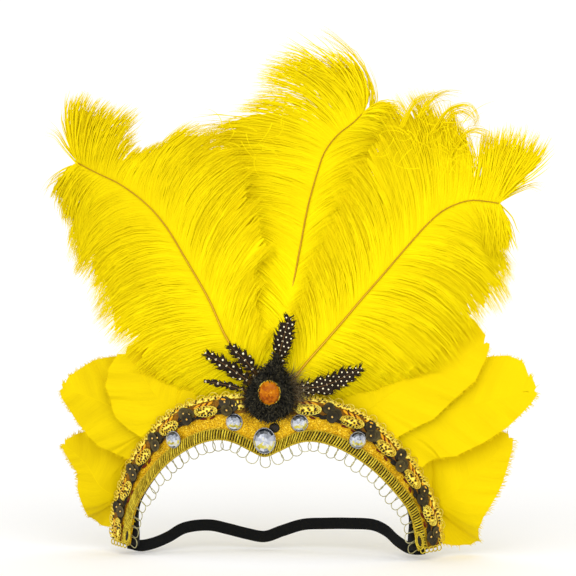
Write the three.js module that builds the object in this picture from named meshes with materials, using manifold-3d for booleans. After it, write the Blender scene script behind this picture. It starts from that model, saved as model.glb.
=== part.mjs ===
// Carnival feather headdress: a crescent band for the forehead with braid, sequins and cut stones,
// a rosette with spotted feathers, three ostrich plumes, broad side feathers and an elastic strap.
// Millimetres. +Z is up and the front faces -Y.
// The origin is the seat on the brow, behind the middle of the band.

import * as THREE from "three";
import { mergeVertices } from "three/addons/utils/BufferGeometryUtils.js";
import Module from "manifold-3d";

const wasm = await Module();
wasm.setup();
const { degToRad, lerp, smoothstep } = THREE.MathUtils;
const FRONT = new THREE.Vector3(0, -1, 0);
const UP = new THREE.Vector3(0, 0, 1);

// Radius of the brow that the flat band is bent round
const BROW_RADIUS = 148;

// Layers of the band, as distances outward from the brow
const LINING_LAYER = { back: 0, front: 1.2, crown: 0 };
const QUILL_OUT = 2.25;
const BAND_LAYER = { back: 3.6, front: 6.1, crown: 0 };
const BRAID_LAYER = { back: 6.4, front: 7.3, crown: 0.8 };
const TAPE_LAYER = { back: 6.4, front: 7.4, crown: 0 };
const STRAP_OUT = -0.9;

// The flat pattern of the band's right half: its lower and upper edges, by section from the peak
const HALF_BAND = [
  { lowAlong: 0, lowZ: -22, highAlong: 0, highZ: 21.5 },
  { lowAlong: 10, lowZ: -18, highAlong: 11, highZ: 21.5 },
  { lowAlong: 19, lowZ: -13.5, highAlong: 21, highZ: 20.5 },
  { lowAlong: 28, lowZ: -11, highAlong: 32, highZ: 19.5 },
  { lowAlong: 37, lowZ: -11.5, highAlong: 43, highZ: 17 },
  { lowAlong: 47, lowZ: -14.5, highAlong: 55, highZ: 13 },
  { lowAlong: 57, lowZ: -19.5, highAlong: 66, highZ: 8 },
  { lowAlong: 67, lowZ: -26, highAlong: 76, highZ: 1 },
  { lowAlong: 77, lowZ: -34, highAlong: 86.5, highZ: -9 },
  { lowAlong: 86.5, lowZ: -43.5, highAlong: 97, highZ: -19.5 },
  { lowAlong: 95, lowZ: -53, highAlong: 107, highZ: -30.5 },
  { lowAlong: 102, lowZ: -62, highAlong: 115.5, highZ: -43.5 },
  { lowAlong: 107, lowZ: -72, highAlong: 123, highZ: -56.5 },
  { lowAlong: 109.5, lowZ: -83, highAlong: 130, highZ: -72 },
  { lowAlong: 112, lowZ: -94, highAlong: 131, highZ: -93 },
];
const BRAID_WIDTH = 8;
const LINING_OVERHANG = 0.8;
const LINING_TAB = 4.5;
const LINING_TOP_INSET = 3;

// Loop edging below the braid: one thread that drops in loops, each listed across its pitch and down
const LOOPS = 43;
const LOOP_OUT = 5.6;
const LOOP_WIRE = 0.5;
const LOOP_TOP = -1;
const LOOP_POINTS = [
  { across: -2.2, drop: 0 },
  { across: -3.1, drop: 4.2 },
  { across: 0, drop: 7.8 },
  { across: 3.1, drop: 4.2 },
  { across: 2.2, drop: 0 },
];

// Sequin trim along the upper edge: how far it reaches past the edge and down from it
const TAPE = { over: 1.2, under: 12 };
const TRIM_ENDS = { left: [0.02, 0.438], right: [0.577, 0.98] };
const CLUSTERS = 5;
const SEQUIN_RADIUS = 4.1;
const SEQUIN_DEPTHS = [2.6, 8.2];
const SEQUIN = { back: 7.7, front: 8.6 };
const LEAF = { half: 7.2, halfWidth: 2.5, back: 7.2, front: 8.8 };
const LEAF_DEPTHS = [2.2, 7.4];
const CORD_RADIUS = 0.7;
const CORD_DOWN = 11;

// Cut stones on the band: place along it, height, how far out the back lies, half width and height
const STONES = [
  { name: "stone_centre", along: 0.3, z: -10.4, out: 8.4, wide: 7.9, tall: 9.3 },
  { name: "stone_left_inner", along: -21.3, z: 2.2, out: 6.4, wide: 6, tall: 6 },
  { name: "stone_left_outer", along: -67, z: -12.5, out: 8.4, wide: 6, tall: 6 },
  { name: "stone_right_inner", along: 24, z: 2.2, out: 6.4, wide: 6, tall: 6 },
  { name: "stone_right_outer", along: 64, z: -10.6, out: 8.4, wide: 6, tall: 6 },
];

// Rosette and the amber stone on it
const ROSETTE = { x: 4, z: 20, radius: 17, tipX: 9.5, tipZ: 50, back: 6.4, rise: 8 };
const AMBER = { x: 4.6, z: 24.8, wide: 8, tall: 8.9, back: 14.7 };

// Ostrich plumes: the shaft's points, then on each side how long the barbs are, the angle to the
// shaft at which they leave it and the angle at which they end
const PLUMES = [
  {
    name: "plume_left",
    shaft: [
      [-1, -2.4, 0.5], [-5, -2.3, 19.5], [-11, -1, 35], [-21, 1, 50], [-31, 3, 66], [-42, 6, 89],
      [-60.5, 10, 119.5], [-74.5, 12, 141.5], [-88.5, 13, 157], [-108, 12, 171.5], [-124, 9, 179.5],
      [-137.5, 5, 187],
    ],
    left: [
      { at: 0.18, length: 24, leave: 60, end: 75 },
      { at: 0.305, length: 62, leave: 50, end: 82 },
      { at: 0.412, length: 78, leave: 48, end: 88 },
      { at: 0.561, length: 80, leave: 46, end: 95 },
      { at: 0.67, length: 78, leave: 44, end: 100 },
      { at: 0.757, length: 64, leave: 26, end: 78 },
      { at: 0.858, length: 45, leave: 25, end: 75 },
      { at: 0.934, length: 26, leave: 25, end: 60 },
      { at: 1, length: 15, leave: 5, end: 30 },
    ],
    right: [
      { at: 0.18, length: 18, leave: 40, end: 58 },
      { at: 0.305, length: 42, leave: 38, end: 65 },
      { at: 0.412, length: 54, leave: 36, end: 75 },
      { at: 0.561, length: 67, leave: 34, end: 85 },
      { at: 0.67, length: 75, leave: 32, end: 95 },
      { at: 0.757, length: 58, leave: 35, end: 112 },
      { at: 0.84, length: 40, leave: 55, end: 115 },
      { at: 0.91, length: 55, leave: 68, end: 116 },
      { at: 1, length: 40, leave: 42, end: 74 },
    ],
  },
  {
    name: "plume_centre",
    shaft: [
      [4.5, -2.3, 0.5], [7, -2.2, 19.5], [8.5, 1, 38], [11, 8, 60.5], [13, 15, 81], [17.5, 22, 104],
      [22, 28, 131], [26, 32, 154.5], [32.5, 34, 179], [38, 34, 194.5], [47.5, 33, 207], [58.5, 30, 215.5],
      [66.5, 27, 223],
    ],
    left: [
      { at: 0.22, length: 26, leave: 45, end: 68 },
      { at: 0.343, length: 46, leave: 45, end: 75 },
      { at: 0.444, length: 60, leave: 46, end: 82 },
      { at: 0.559, length: 70, leave: 50, end: 98 },
      { at: 0.658, length: 80, leave: 52, end: 112 },
      { at: 0.763, length: 90, leave: 60, end: 128 },
      { at: 0.83, length: 88, leave: 78, end: 140 },
      { at: 0.895, length: 74, leave: 95, end: 150 },
      { at: 0.953, length: 82, leave: 95, end: 150 },
      { at: 1, length: 84, leave: 68, end: 145 },
    ],
    right: [
      { at: 0.22, length: 24, leave: 40, end: 60 },
      { at: 0.343, length: 40, leave: 36, end: 62 },
      { at: 0.444, length: 46, leave: 35, end: 65 },
      { at: 0.559, length: 48, leave: 32, end: 62 },
      { at: 0.658, length: 50, leave: 30, end: 60 },
      { at: 0.763, length: 46, leave: 25, end: 52 },
      { at: 0.83, length: 42, leave: 18, end: 42 },
      { at: 0.895, length: 34, leave: 8, end: 28 },
      { at: 0.953, length: 24, leave: 4, end: 14 },
      { at: 1, length: 18, leave: 2, end: 8 },
    ],
  },
  {
    name: "plume_right",
    shaft: [
      [10.5, -2, 0.5], [13.5, -1.8, 19.5], [23.5, -0.5, 37.5], [44, 2, 62], [56, 4, 76], [68, 6, 90.5],
      [86, 10, 111.5], [99.5, 12, 127.5], [116, 13, 146], [126, 13, 154.5], [137, 12, 160], [147, 10, 162.5],
      [159, 6, 162], [167.5, 3, 161],
    ],
    left: [
      { at: 0.2, length: 20, leave: 40, end: 65 },
      { at: 0.299, length: 36, leave: 40, end: 70 },
      { at: 0.454, length: 58, leave: 38, end: 74 },
      { at: 0.57, length: 76, leave: 36, end: 74 },
      { at: 0.658, length: 88, leave: 36, end: 72 },
      { at: 0.761, length: 96, leave: 38, end: 68 },
      { at: 0.815, length: 86, leave: 42, end: 70 },
      { at: 0.866, length: 66, leave: 50, end: 80 },
      { at: 0.91, length: 54, leave: 62, end: 88 },
      { at: 0.962, length: 56, leave: 70, end: 85 },
      { at: 1, length: 60, leave: 58, end: 72 },
    ],
    right: [
      { at: 0.2, length: 20, leave: 40, end: 60 },
      { at: 0.299, length: 40, leave: 42, end: 66 },
      { at: 0.454, length: 66, leave: 45, end: 80 },
      { at: 0.57, length: 76, leave: 45, end: 86 },
      { at: 0.658, length: 78, leave: 45, end: 90 },
      { at: 0.761, length: 70, leave: 45, end: 95 },
      { at: 0.815, length: 58, leave: 46, end: 92 },
      { at: 0.91, length: 38, leave: 42, end: 84 },
      { at: 1, length: 16, leave: 20, end: 60 },
    ],
  },
];
const LOCKS_PER_SIDE = 10;
const LOCK_WIDTH = 18;
const LOCK_THICKNESS = 4.4;
const LOCK_LIFT = 3;
const LOCK_DROOP = 8;
const LOCK_SECTIONS = [
  { share: 0, width: 0.45, thickness: 0.5 },
  { share: 0.25, width: 0.86, thickness: 0.9 },
  { share: 0.55, width: 1, thickness: 1 },
  { share: 0.85, width: 0.72, thickness: 0.7 },
  { share: 1, width: 0, thickness: 0 },
];
const SHAFT = { steps: 12, base: 1.3, tip: 0.55, flat: 0.7 };

// Broad side feathers: where the quill lies under the band, where it leaves the upper edge,
// then the shaft's free points and the half widths of the vane above and below it
const SIDE_FEATHERS = [
  { name: "side_feather_left_1", under: [-63, -8], leaves: [-72, 7],
    free: [[-83, 18, 18.5], [-94.5, 20, 33.5], [-108, 22, 50]], above: 22, below: 26 },
  { name: "side_feather_left_2", under: [-84, -24], leaves: [-94, -12],
    free: [[-102, 29, -2], [-124, 31, 11], [-156, 34, 21]], above: 30, below: 27 },
  { name: "side_feather_left_3", under: [-110, -77], leaves: [-129, -63],
    free: [[-129, 46, -52], [-139, 47, -37], [-157, 48, -21]], above: 25, below: 17 },
  { name: "side_feather_right_1", under: [63, -8], leaves: [72, 7],
    free: [[85, 18.5, 20], [113, 21, 37], [158, 24, 60]], above: 24, below: 24 },
  { name: "side_feather_right_2", under: [84, -24], leaves: [94, -12],
    free: [[107, 29.5, 3], [145, 31, 13], [192, 34, 24]], above: 28, below: 29 },
  { name: "side_feather_right_3", under: [110, -77], leaves: [129, -63],
    free: [[132, 46.5, -52], [149, 47.5, -36], [172, 48, -11]], above: 27, below: 24 },
];
const SIDE_VANE = { edge: 0.9, ridge: 2, quill: 1.2, camber: 0.14, full: 0.45, start: 0.54 };
const SIDE_VANE_GAP = 2.5;

// Spotted feathers behind the rosette: the shaft's points and the half width of the vane
const GUINEA_FEATHERS = [
  { name: "guinea_left_1", shaft: [[-6.5, -5.2, 28], [-23.5, -7.5, 40.5], [-43, -10, 52.5]], half: 5.4 },
  { name: "guinea_left_2", shaft: [[-4.5, -5.2, 34.5], [-13, -10, 47], [-25, -15, 59]], half: 5 },
  { name: "guinea_left_3", shaft: [[-9, -5.2, 23.5], [-25, -7, 28.5], [-44, -8, 32]], half: 2.6 },
  { name: "guinea_top", shaft: [[8, -5.2, 41.5], [12.5, -7, 59], [18.5, -9, 80]], half: 7 },
  { name: "guinea_right", shaft: [[18, -5.2, 27.5], [42, -8, 29.5], [71, -10, 43.5]], half: 7 },
];
const GUINEA_VANE = { edge: 0.7, ridge: 1.2, quill: 1.2, camber: 0.12, full: 0.5, start: 0.35 };
const GUINEA_QUILL = 1.5;

// Elastic strap between the ends of the band
const STRAP = { width: 8.4, thickness: 1.2, steps: 30 };
const STRAP_TAIL = [124, 118];
const STRAP_TAIL_Z = -94;
const STRAP_FREE = [
  [-99, 43.6, -95], [-91, 49, -94], [-81, 60, -90.5], [-70, 67, -84.5], [-52.5, 74, -83], [-39, 77, -86],
  [-25.5, 79, -89.5], [-12.5, 80, -91.5], [0.5, 80, -87], [16, 79, -82], [33, 76, -80.5], [51, 71, -79.5],
  [70, 64.5, -79.5], [80, 59, -83], [89, 50.5, -89], [98.5, 43.6, -93],
];

// Sections of the whole band, mirrored from its right half, and the curves of its two edges
const mirrored = (row) => ({ ...row, lowAlong: -row.lowAlong, highAlong: -row.highAlong });
const SECTIONS = [...HALF_BAND.slice(1).reverse().map(mirrored), ...HALF_BAND];
const lowPoint = (row) => new THREE.Vector3(row.lowAlong, 0, row.lowZ);
const highPoint = (row) => new THREE.Vector3(row.highAlong, 0, row.highZ);
const lowEdge = new THREE.CatmullRomCurve3(SECTIONS.map(lowPoint));
const highEdge = new THREE.CatmullRomCurve3(SECTIONS.map(highPoint));

// A point of the flat pattern bent round the brow
function bent(along, z, out) {
  const turn = along / BROW_RADIUS;
  const radius = BROW_RADIUS + out;
  return new THREE.Vector3(radius * Math.sin(turn), BROW_RADIUS - radius * Math.cos(turn), z);
}

// A point of the flat pattern at a height above the lower edge; place runs from 0 at the left to 1
function fromLow(place, height) {
  const low = lowEdge.getPoint(place);
  const rise = highEdge.getPoint(place).sub(low).normalize();
  return low.addScaledVector(rise, height);
}

// A point of the flat pattern at a depth below the upper edge
function fromHigh(place, depth) {
  const high = highEdge.getPoint(place);
  const fall = lowEdge.getPoint(place).sub(high).normalize();
  return high.addScaledVector(fall, depth);
}

// Six times the volume that a list of triangles encloses, negative where its faces look inward
function signedVolume(points, triangles) {
  let total = 0;
  for (let i = 0; i < triangles.length; i += 3) {
    const [a, b, c] = [points[triangles[i]], points[triangles[i + 1]], points[triangles[i + 2]]];
    total += a.dot(b.clone().cross(c));
  }
  return total;
}

// A closed skin through rings of points, capped at both ends; a ring of one point makes a sharp end
function loft(rings) {
  const points = [];
  const triangles = [];
  const starts = rings.map((ring) => points.push(...ring) - ring.length);
  const count = rings[0].length;
  const capped = (ringIndex, forward) => {
    const ring = rings[ringIndex];
    const sum = ring.reduce((total, point) => total.add(point), new THREE.Vector3());
    const middle = points.push(sum.divideScalar(count)) - 1;
    for (let j = 0; j < count; j += 1) {
      const pair = [starts[ringIndex] + j, starts[ringIndex] + ((j + 1) % count)];
      triangles.push(middle, ...(forward ? pair : pair.reverse()));
    }
  };
  for (let i = 0; i + 1 < rings.length; i += 1) {
    for (let j = 0; j < count; j += 1) {
      const [a, b] = [starts[i] + j, starts[i] + ((j + 1) % count)];
      if (rings[i + 1].length === 1) {
        triangles.push(a, b, starts[i + 1]);
      } else {
        const [c, d] = [starts[i + 1] + ((j + 1) % count), starts[i + 1] + j];
        triangles.push(a, b, c, a, c, d);
      }
    }
  }
  capped(0, false);
  if (rings.at(-1).length > 1) {
    capped(rings.length - 1, true);
  }
  const geometry = new THREE.BufferGeometry().setFromPoints(points);
  geometry.setIndex(signedVolume(points, triangles) < 0 ? triangles.reverse() : triangles);
  return geometry;
}

// Several closed skins joined into one
function fuse(geometries) {
  const solids = geometries.map((geometry) => {
    const bare = geometry.clone();
    bare.deleteAttribute("normal");
    bare.deleteAttribute("uv");
    const welded = mergeVertices(bare);
    return new wasm.Manifold(
      new wasm.Mesh({
        numProp: 3,
        vertProperties: new Float32Array(welded.attributes.position.array),
        triVerts: new Uint32Array(welded.index.array),
      }),
    );
  });
  const mesh = wasm.Manifold.union(solids).getMesh();
  const joined = new THREE.BufferGeometry();
  const places = new Float32Array(mesh.vertProperties);
  joined.setAttribute("position", new THREE.BufferAttribute(places, 3));
  joined.setIndex(new THREE.BufferAttribute(new Uint32Array(mesh.triVerts), 1));
  return joined;
}

// A strip of the band between two lines of the flat pattern, bent round the brow
function strip(from, to, steps, across, layer, edges) {
  const rings = [];
  for (let i = 0; i <= steps; i += 1) {
    const [low, high] = edges(lerp(from, to, i / steps));
    const ring = [];
    for (let j = 0; j <= across; j += 1) {
      const point = low.clone().lerp(high, j / across);
      ring.push(bent(point.x, point.z, layer.back));
    }
    for (let j = across; j >= 0; j -= 1) {
      const point = low.clone().lerp(high, j / across);
      const out = layer.front + layer.crown * Math.sin((Math.PI * j) / across);
      ring.push(bent(point.x, point.z, out));
    }
    rings.push(ring);
  }
  return loft(rings);
}

// The band and its felt lining, which widens into a tab at each end where the strap is sewn
function band() {
  return strip(0, 1, 32, 2, BAND_LAYER, (place) => [fromLow(place, 0), fromHigh(place, 0)]);
}

function lining() {
  return strip(0, 1, 32, 2, LINING_LAYER, (place) => {
    const end = smoothstep(Math.abs(place - 0.5), 0.36, 0.48);
    const overhang = lerp(LINING_OVERHANG, LINING_TAB, end);
    return [fromLow(place, -overhang), fromHigh(place, LINING_TOP_INSET)];
  });
}

function lowerBraid() {
  const edges = (place) => [fromLow(place, 0), fromLow(place, BRAID_WIDTH)];
  return strip(0, 1, 32, 2, BRAID_LAYER, edges);
}

// Places along the band that are evenly spaced on one of its lines
function evenPlaces(line, from, to, count) {
  const samples = 400;
  const lengths = [0];
  const places = [from];
  for (let i = 1; i <= samples; i += 1) {
    const place = lerp(from, to, i / samples);
    lengths.push(lengths.at(-1) + line(place).distanceTo(line(places.at(-1))));
    places.push(place);
  }
  return Array.from({ length: count }, (_, i) => {
    const wanted = (lengths.at(-1) * (i + 0.5)) / count;
    return places[lengths.findIndex((length) => length >= wanted)];
  });
}

// The direction along a line of the flat pattern, and the direction up across the band
function patternAxes(line, place) {
  const ahead = line(Math.min(1, place + 0.002)).sub(line(Math.max(0, place - 0.002))).normalize();
  const rise = new THREE.Vector3(-ahead.z, 0, ahead.x);
  return { ahead, rise };
}

// A three-sided wire through points of the flat pattern
function wire(points, out, radius) {
  const rings = points.map((point, i) => {
    const next = points[Math.min(points.length - 1, i + 1)];
    const last = points[Math.max(0, i - 1)];
    const ahead = next.clone().sub(last).normalize();
    const aside = new THREE.Vector3(-ahead.z, 0, ahead.x);
    return [0, 1, 2].map((corner) => {
      const angle = (corner * 2 * Math.PI) / 3;
      const flat = point.clone().addScaledVector(aside, radius * Math.sin(angle));
      return bent(flat.x, flat.z, out + radius * Math.cos(angle));
    });
  });
  return loft(rings);
}

// The thread whose loops hang below the braid
function loopEdging() {
  const line = (place) => fromLow(place, LOOP_TOP);
  const points = evenPlaces(line, 0, 1, LOOPS).flatMap((place) => {
    const { ahead, rise } = patternAxes(line, place);
    return LOOP_POINTS.map(({ across, drop }) =>
      line(place).addScaledVector(ahead, across).addScaledVector(rise, -drop),
    );
  });
  return wire(points, LOOP_OUT, LOOP_WIRE);
}

// A flat oval with a smaller top, lying on the band
function button(centre, axes, half, halfWidth, layer, sides) {
  const ring = (share, out) =>
    Array.from({ length: sides }, (_, i) => {
      const angle = (2 * Math.PI * i) / sides;
      const flat = centre.clone()
        .addScaledVector(axes.ahead, share * half * Math.cos(angle))
        .addScaledVector(axes.rise, share * halfWidth * Math.sin(angle));
      return bent(flat.x, flat.z, out);
    });
  return loft([ring(1, layer.back), ring(0.72, layer.front)]);
}

// Gold trim on one half of the upper edge: a tape with two leaves between the clusters of sequins
function sequinTrim([from, to]) {
  const line = (place) => fromHigh(place, TAPE.under / 2);
  const edges = (place) => [fromHigh(place, TAPE.under), fromHigh(place, -TAPE.over)];
  const tape = strip(from, to, 16, 1, TAPE_LAYER, edges);
  const places = evenPlaces(line, from, to, 2 * CLUSTERS).filter((_, i) => i % 2 === 0);
  const leaves = places.flatMap((place) => {
    const axes = patternAxes(line, place);
    const leaf = (depth) => button(fromHigh(place, depth), axes, LEAF.half, LEAF.halfWidth, LEAF, 7);
    return LEAF_DEPTHS.map(leaf);
  });
  return fuse([tape, ...leaves]);
}

// Dark sequins in pairs across the trim, joined by a dark cord
function sequinString([from, to]) {
  const line = (place) => fromHigh(place, CORD_DOWN);
  const middle = (place) => fromHigh(place, TAPE.under / 2);
  const places = evenPlaces(middle, from, to, 2 * CLUSTERS).filter((_, i) => i % 2 === 1);
  const discs = places.flatMap((place) => {
    const axes = patternAxes(middle, place);
    const disc = (depth) => button(fromHigh(place, depth), axes, SEQUIN_RADIUS, SEQUIN_RADIUS, SEQUIN, 7);
    return SEQUIN_DEPTHS.map(disc);
  });
  const steps = 16;
  const stop = (_, i) => line(lerp(places[0], places.at(-1), i / steps));
  const points = Array.from({ length: steps + 1 }, stop);
  return fuse([wire(points, SEQUIN.back + CORD_RADIUS, CORD_RADIUS), ...discs]);
}

// A cut stone with a table, eight facets round the crown and a flat back, looking out along -Y
function cutStone(half, tall) {
  const profile = [[0, 0], [0.94, 0], [1, 0.14], [1, 0.22], [0.55, 0.6], [0, 0.6]];
  const points = profile.map(([radius, height]) => new THREE.Vector2(radius * half, height * half));
  const geometry = new THREE.LatheGeometry(points, 8);
  geometry.rotateY(Math.PI / 8);
  geometry.rotateX(Math.PI);
  geometry.scale(1, 1, tall / half);
  return fuse([geometry]);
}

function bandStone({ along, z, out, wide, tall }) {
  const geometry = cutStone(wide, tall);
  const seat = bent(along, z, out);
  geometry.rotateZ(along / BROW_RADIUS);
  return geometry.translate(seat.x, seat.y, seat.z);
}

function amberStone() {
  return cutStone(AMBER.wide, AMBER.tall).translate(AMBER.x, -AMBER.back, AMBER.z);
}

// The rosette: a teardrop pad that rises to a flat seat for the amber stone
function rosettePad() {
  const sides = 22;
  const outline = Array.from({ length: sides }, (_, i) => {
    const angle = (2 * Math.PI * i) / sides - Math.PI / 2;
    const [across, up] = [Math.cos(angle), Math.sin(angle)];
    const point = new THREE.Vector2(ROSETTE.x, ROSETTE.z);
    point.add(new THREE.Vector2(across, up).multiplyScalar(ROSETTE.radius));
    const tip = new THREE.Vector2(ROSETTE.tipX + 3 * across, ROSETTE.tipZ);
    return point.lerp(tip, Math.max(0, up) ** 2.4);
  });
  const layers = [
    { share: 0.93, out: 0 },
    { share: 1, out: 2.2 },
    { share: 0.86, out: 5.6 },
    { share: 0.55, out: ROSETTE.rise },
  ];
  const rings = layers.map(({ share, out }) =>
    outline.map((point) => {
      const x = lerp(AMBER.x, point.x, share);
      const z = lerp(AMBER.z, point.y, share);
      return new THREE.Vector3(x, -(ROSETTE.back + out), z);
    }),
  );
  return loft(rings);
}

// The value of a table's columns at a place between its rows
function between(rows, at) {
  const next = Math.max(1, rows.findIndex((row) => row.at >= at));
  const [a, b] = [rows[next - 1], rows[next]];
  const share = THREE.MathUtils.clamp((at - a.at) / (b.at - a.at), 0, 1);
  return {
    length: lerp(a.length, b.length, share),
    leave: degToRad(lerp(a.leave, b.leave, share)),
    end: degToRad(lerp(a.end, b.end, share)),
  };
}

// A place on a shaft with its direction, the direction it faces and the direction to its right
function shaftFrame(curve, at) {
  const along = curve.getTangentAt(at);
  const facing = FRONT.clone().addScaledVector(along, -FRONT.dot(along)).normalize();
  const aside = along.clone().cross(facing);
  return { point: curve.getPointAt(at), along, facing, aside };
}

// A tapered shaft of flattened section
function shaftSkin(curve) {
  const rings = [];
  for (let i = 0; i <= SHAFT.steps; i += 1) {
    const { point, facing, aside } = shaftFrame(curve, i / SHAFT.steps);
    const radius = lerp(SHAFT.base, SHAFT.tip, i / SHAFT.steps);
    rings.push(
      Array.from({ length: 6 }, (_, j) => {
        const angle = (Math.PI * j) / 3;
        return point.clone()
          .addScaledVector(aside, radius * Math.cos(angle))
          .addScaledVector(facing, SHAFT.flat * radius * Math.sin(angle));
      }),
    );
  }
  return loft(rings);
}

// One lock of barbs: a tapered strip that leaves the shaft, turns and droops back at its tip
function lock(curve, rows, side, at, lift) {
  const { point, along, facing, aside } = shaftFrame(curve, at);
  const { length, leave, end } = between(rows, at);
  const walker = point.clone();
  let walked = 0;
  const rings = LOCK_SECTIONS.map(({ share, width, thickness }) => {
    const angle = lerp(leave, end, share);
    const middle = lerp(leave, end, 0.5 * (walked + share));
    const ahead = (turn) => {
      const forward = along.clone().multiplyScalar(Math.cos(turn));
      return forward.addScaledVector(aside, side * Math.sin(turn));
    };
    walker.addScaledVector(ahead(middle), length * (share - walked));
    walked = share;
    const depth = lift * Math.sin(Math.PI * share) - LOCK_DROOP * share * share;
    const centre = walker.clone().addScaledVector(facing, depth);
    const across = ahead(angle).cross(facing);
    const half = 0.5 * width * Math.min(LOCK_WIDTH, 0.4 * length);
    const thick = 0.5 * thickness * Math.min(LOCK_THICKNESS, 0.12 * length);
    const corner = (direction, distance) => centre.clone().addScaledVector(direction, distance);
    return width > 0
      ? [corner(across, half), corner(facing, thick), corner(across, -half), corner(facing, -thick)]
      : [centre];
  });
  return loft(rings);
}

// An ostrich plume: the shaft with locks fused to both sides of it
function plume({ shaft, left, right }) {
  const curve = new THREE.CatmullRomCurve3(shaft.map((row) => new THREE.Vector3(...row)));
  const locks = [];
  for (const [side, rows] of [[-1, left], [1, right]]) {
    for (let i = 0; i < LOCKS_PER_SIDE; i += 1) {
      const at = lerp(rows[0].at, 0.995, i / (LOCKS_PER_SIDE - 1));
      locks.push(lock(curve, rows, side, at, i % 2 ? LOCK_LIFT : -LOCK_LIFT));
    }
  }
  return fuse([shaftSkin(curve), ...locks]);
}

// How wide a vane is at a share of its length: it fills out, then closes in a round tip
function vaneWidth(share, vane) {
  if (share < vane.full) {
    return lerp(vane.start, 1, Math.sin((Math.PI / 2) * (share / vane.full)));
  }
  const past = (share - vane.full) / (1.02 - vane.full);
  return Math.sqrt(1 - past * past);
}

// A feather with a smooth vane: a bare quill, then a shaft with a thin cambered web on both sides
function feather(points, quillLength, vane, above, below, upward) {
  const curve = new THREE.CatmullRomCurve3(points);
  const from = quillLength / curve.getLength();
  const stops = [0, 0.5 * from, from];
  const steps = 6;
  for (let i = 0; i <= steps; i += 1) {
    stops.push(lerp(from + 0.01, 1, Math.sin((Math.PI / 2) * (i / steps))));
  }
  const rings = stops.map((at, i) => {
    const { point, facing, aside } = shaftFrame(curve, at);
    const bare = i < 3;
    const width = bare ? 0 : vaneWidth((at - from) / (1 - from), vane);
    const spread = [
      { half: -(bare ? 0.5 * vane.quill : (upward < 0 ? above : below) * width), edge: true },
      { half: 0, edge: false },
      { half: bare ? 0.5 * vane.quill : (upward < 0 ? below : above) * width, edge: true },
    ];
    const place = ({ half, edge }, face) => {
      const thick = bare ? (edge ? 0.3 : 0.5) * vane.quill : 0.5 * (edge ? vane.edge : vane.ridge);
      const back = bare ? 0 : vane.camber * Math.abs(half);
      return point.clone().addScaledVector(aside, half).addScaledVector(facing, face * thick - back);
    };
    return [...spread.map((row) => place(row, 1)), ...spread.reverse().map((row) => place(row, -1))];
  });
  return loft(rings);
}

function sideFeather({ under, leaves, free, above, below }) {
  const middle = under.map((value, i) => lerp(value, leaves[i], 0.5));
  const held = [under, middle, leaves].map((row) => bent(...row, QUILL_OUT));
  const points = [...held, ...free.map((row) => new THREE.Vector3(...row))];
  const quillLength = held[0].distanceTo(held[2]) + SIDE_VANE_GAP;
  return feather(points, quillLength, SIDE_VANE, above, below, free[0][0] < 0 ? 1 : -1);
}

function guineaFeather({ shaft, half }) {
  const points = shaft.map((row) => new THREE.Vector3(...row));
  return feather(points, GUINEA_QUILL, GUINEA_VANE, half, half, 1);
}

// The strap: a flat ribbon on edge whose tails lie against the lining
function strap() {
  const tail = (side) => STRAP_TAIL.map((along) => bent(side * along, STRAP_TAIL_Z, STRAP_OUT));
  const free = STRAP_FREE.map((row) => new THREE.Vector3(...row));
  const curve = new THREE.CatmullRomCurve3([...tail(-1), ...free, ...tail(1).reverse()]);
  const rings = [];
  for (let i = 0; i <= STRAP.steps; i += 1) {
    const along = curve.getTangentAt(i / STRAP.steps);
    const through = along.clone().cross(UP).normalize();
    const across = through.clone().cross(along);
    const corner = (a, b) =>
      curve.getPointAt(i / STRAP.steps)
        .addScaledVector(across, 0.5 * a * STRAP.width)
        .addScaledVector(through, 0.5 * b * STRAP.thickness);
    rings.push([corner(-1, -1), corner(1, -1), corner(1, 1), corner(-1, 1)]);
  }
  return loft(rings);
}

// Finishes
function finish(color, roughness, metalness) {
  return new THREE.MeshStandardMaterial({ color, roughness, metalness });
}
const goldCloth = finish(0xd9a514, 0.55, 0.3);
const blackFelt = finish(0x14140f, 0.95, 0);
const goldThread = finish(0xc8ab2c, 0.35, 0.8);
const darkSequin = finish(0x2b2a1c, 0.25, 0.5);
const clearStone = finish(0xd8dce0, 0.08, 0.6);
const amberGlass = finish(0xd87814, 0.1, 0.1);
const yellowFeather = finish(0xf2d505, 0.75, 0);
const spottedFeather = finish(0x2f2012, 0.7, 0);
const blackElastic = finish(0x0f1110, 0.85, 0);

const group = new THREE.Group();
function addPiece(name, geometry, material) {
  const mesh = new THREE.Mesh(geometry, material);
  mesh.name = name;
  group.add(mesh);
}

addPiece("band", band(), goldCloth);
addPiece("band_lining", lining(), blackFelt);
addPiece("lower_braid", lowerBraid(), goldThread);
addPiece("loop_edging", loopEdging(), goldThread);
for (const side of ["left", "right"]) {
  addPiece(`sequin_trim_${side}`, sequinTrim(TRIM_ENDS[side]), goldThread);
  addPiece(`sequin_string_${side}`, sequinString(TRIM_ENDS[side]), darkSequin);
}
STONES.forEach((row) => addPiece(row.name, bandStone(row), clearStone));
addPiece("rosette_pad", rosettePad(), blackFelt);
addPiece("amber_stone", amberStone(), amberGlass);
GUINEA_FEATHERS.forEach((row) => addPiece(row.name, guineaFeather(row), spottedFeather));
PLUMES.forEach((row) => addPiece(row.name, plume(row), yellowFeather));
SIDE_FEATHERS.forEach((row) => addPiece(row.name, sideFeather(row), yellowFeather));
addPiece("strap", strap(), blackElastic);

export default group;
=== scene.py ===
"""Carnival feather headdress: feathers, braid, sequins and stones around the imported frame.

Each sub-assembly is a class that holds its sizes and builds its own meshes. Sizes are millimetres in
the shared frame, with +Z up and the front facing -Y, and become metres when a mesh is made.
"""

import logging
from dataclasses import dataclass, replace
from enum import Enum
from functools import partial
from typing import Callable, NamedTuple, Sequence

import bpy
import numpy as np
from mathutils import Matrix


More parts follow.
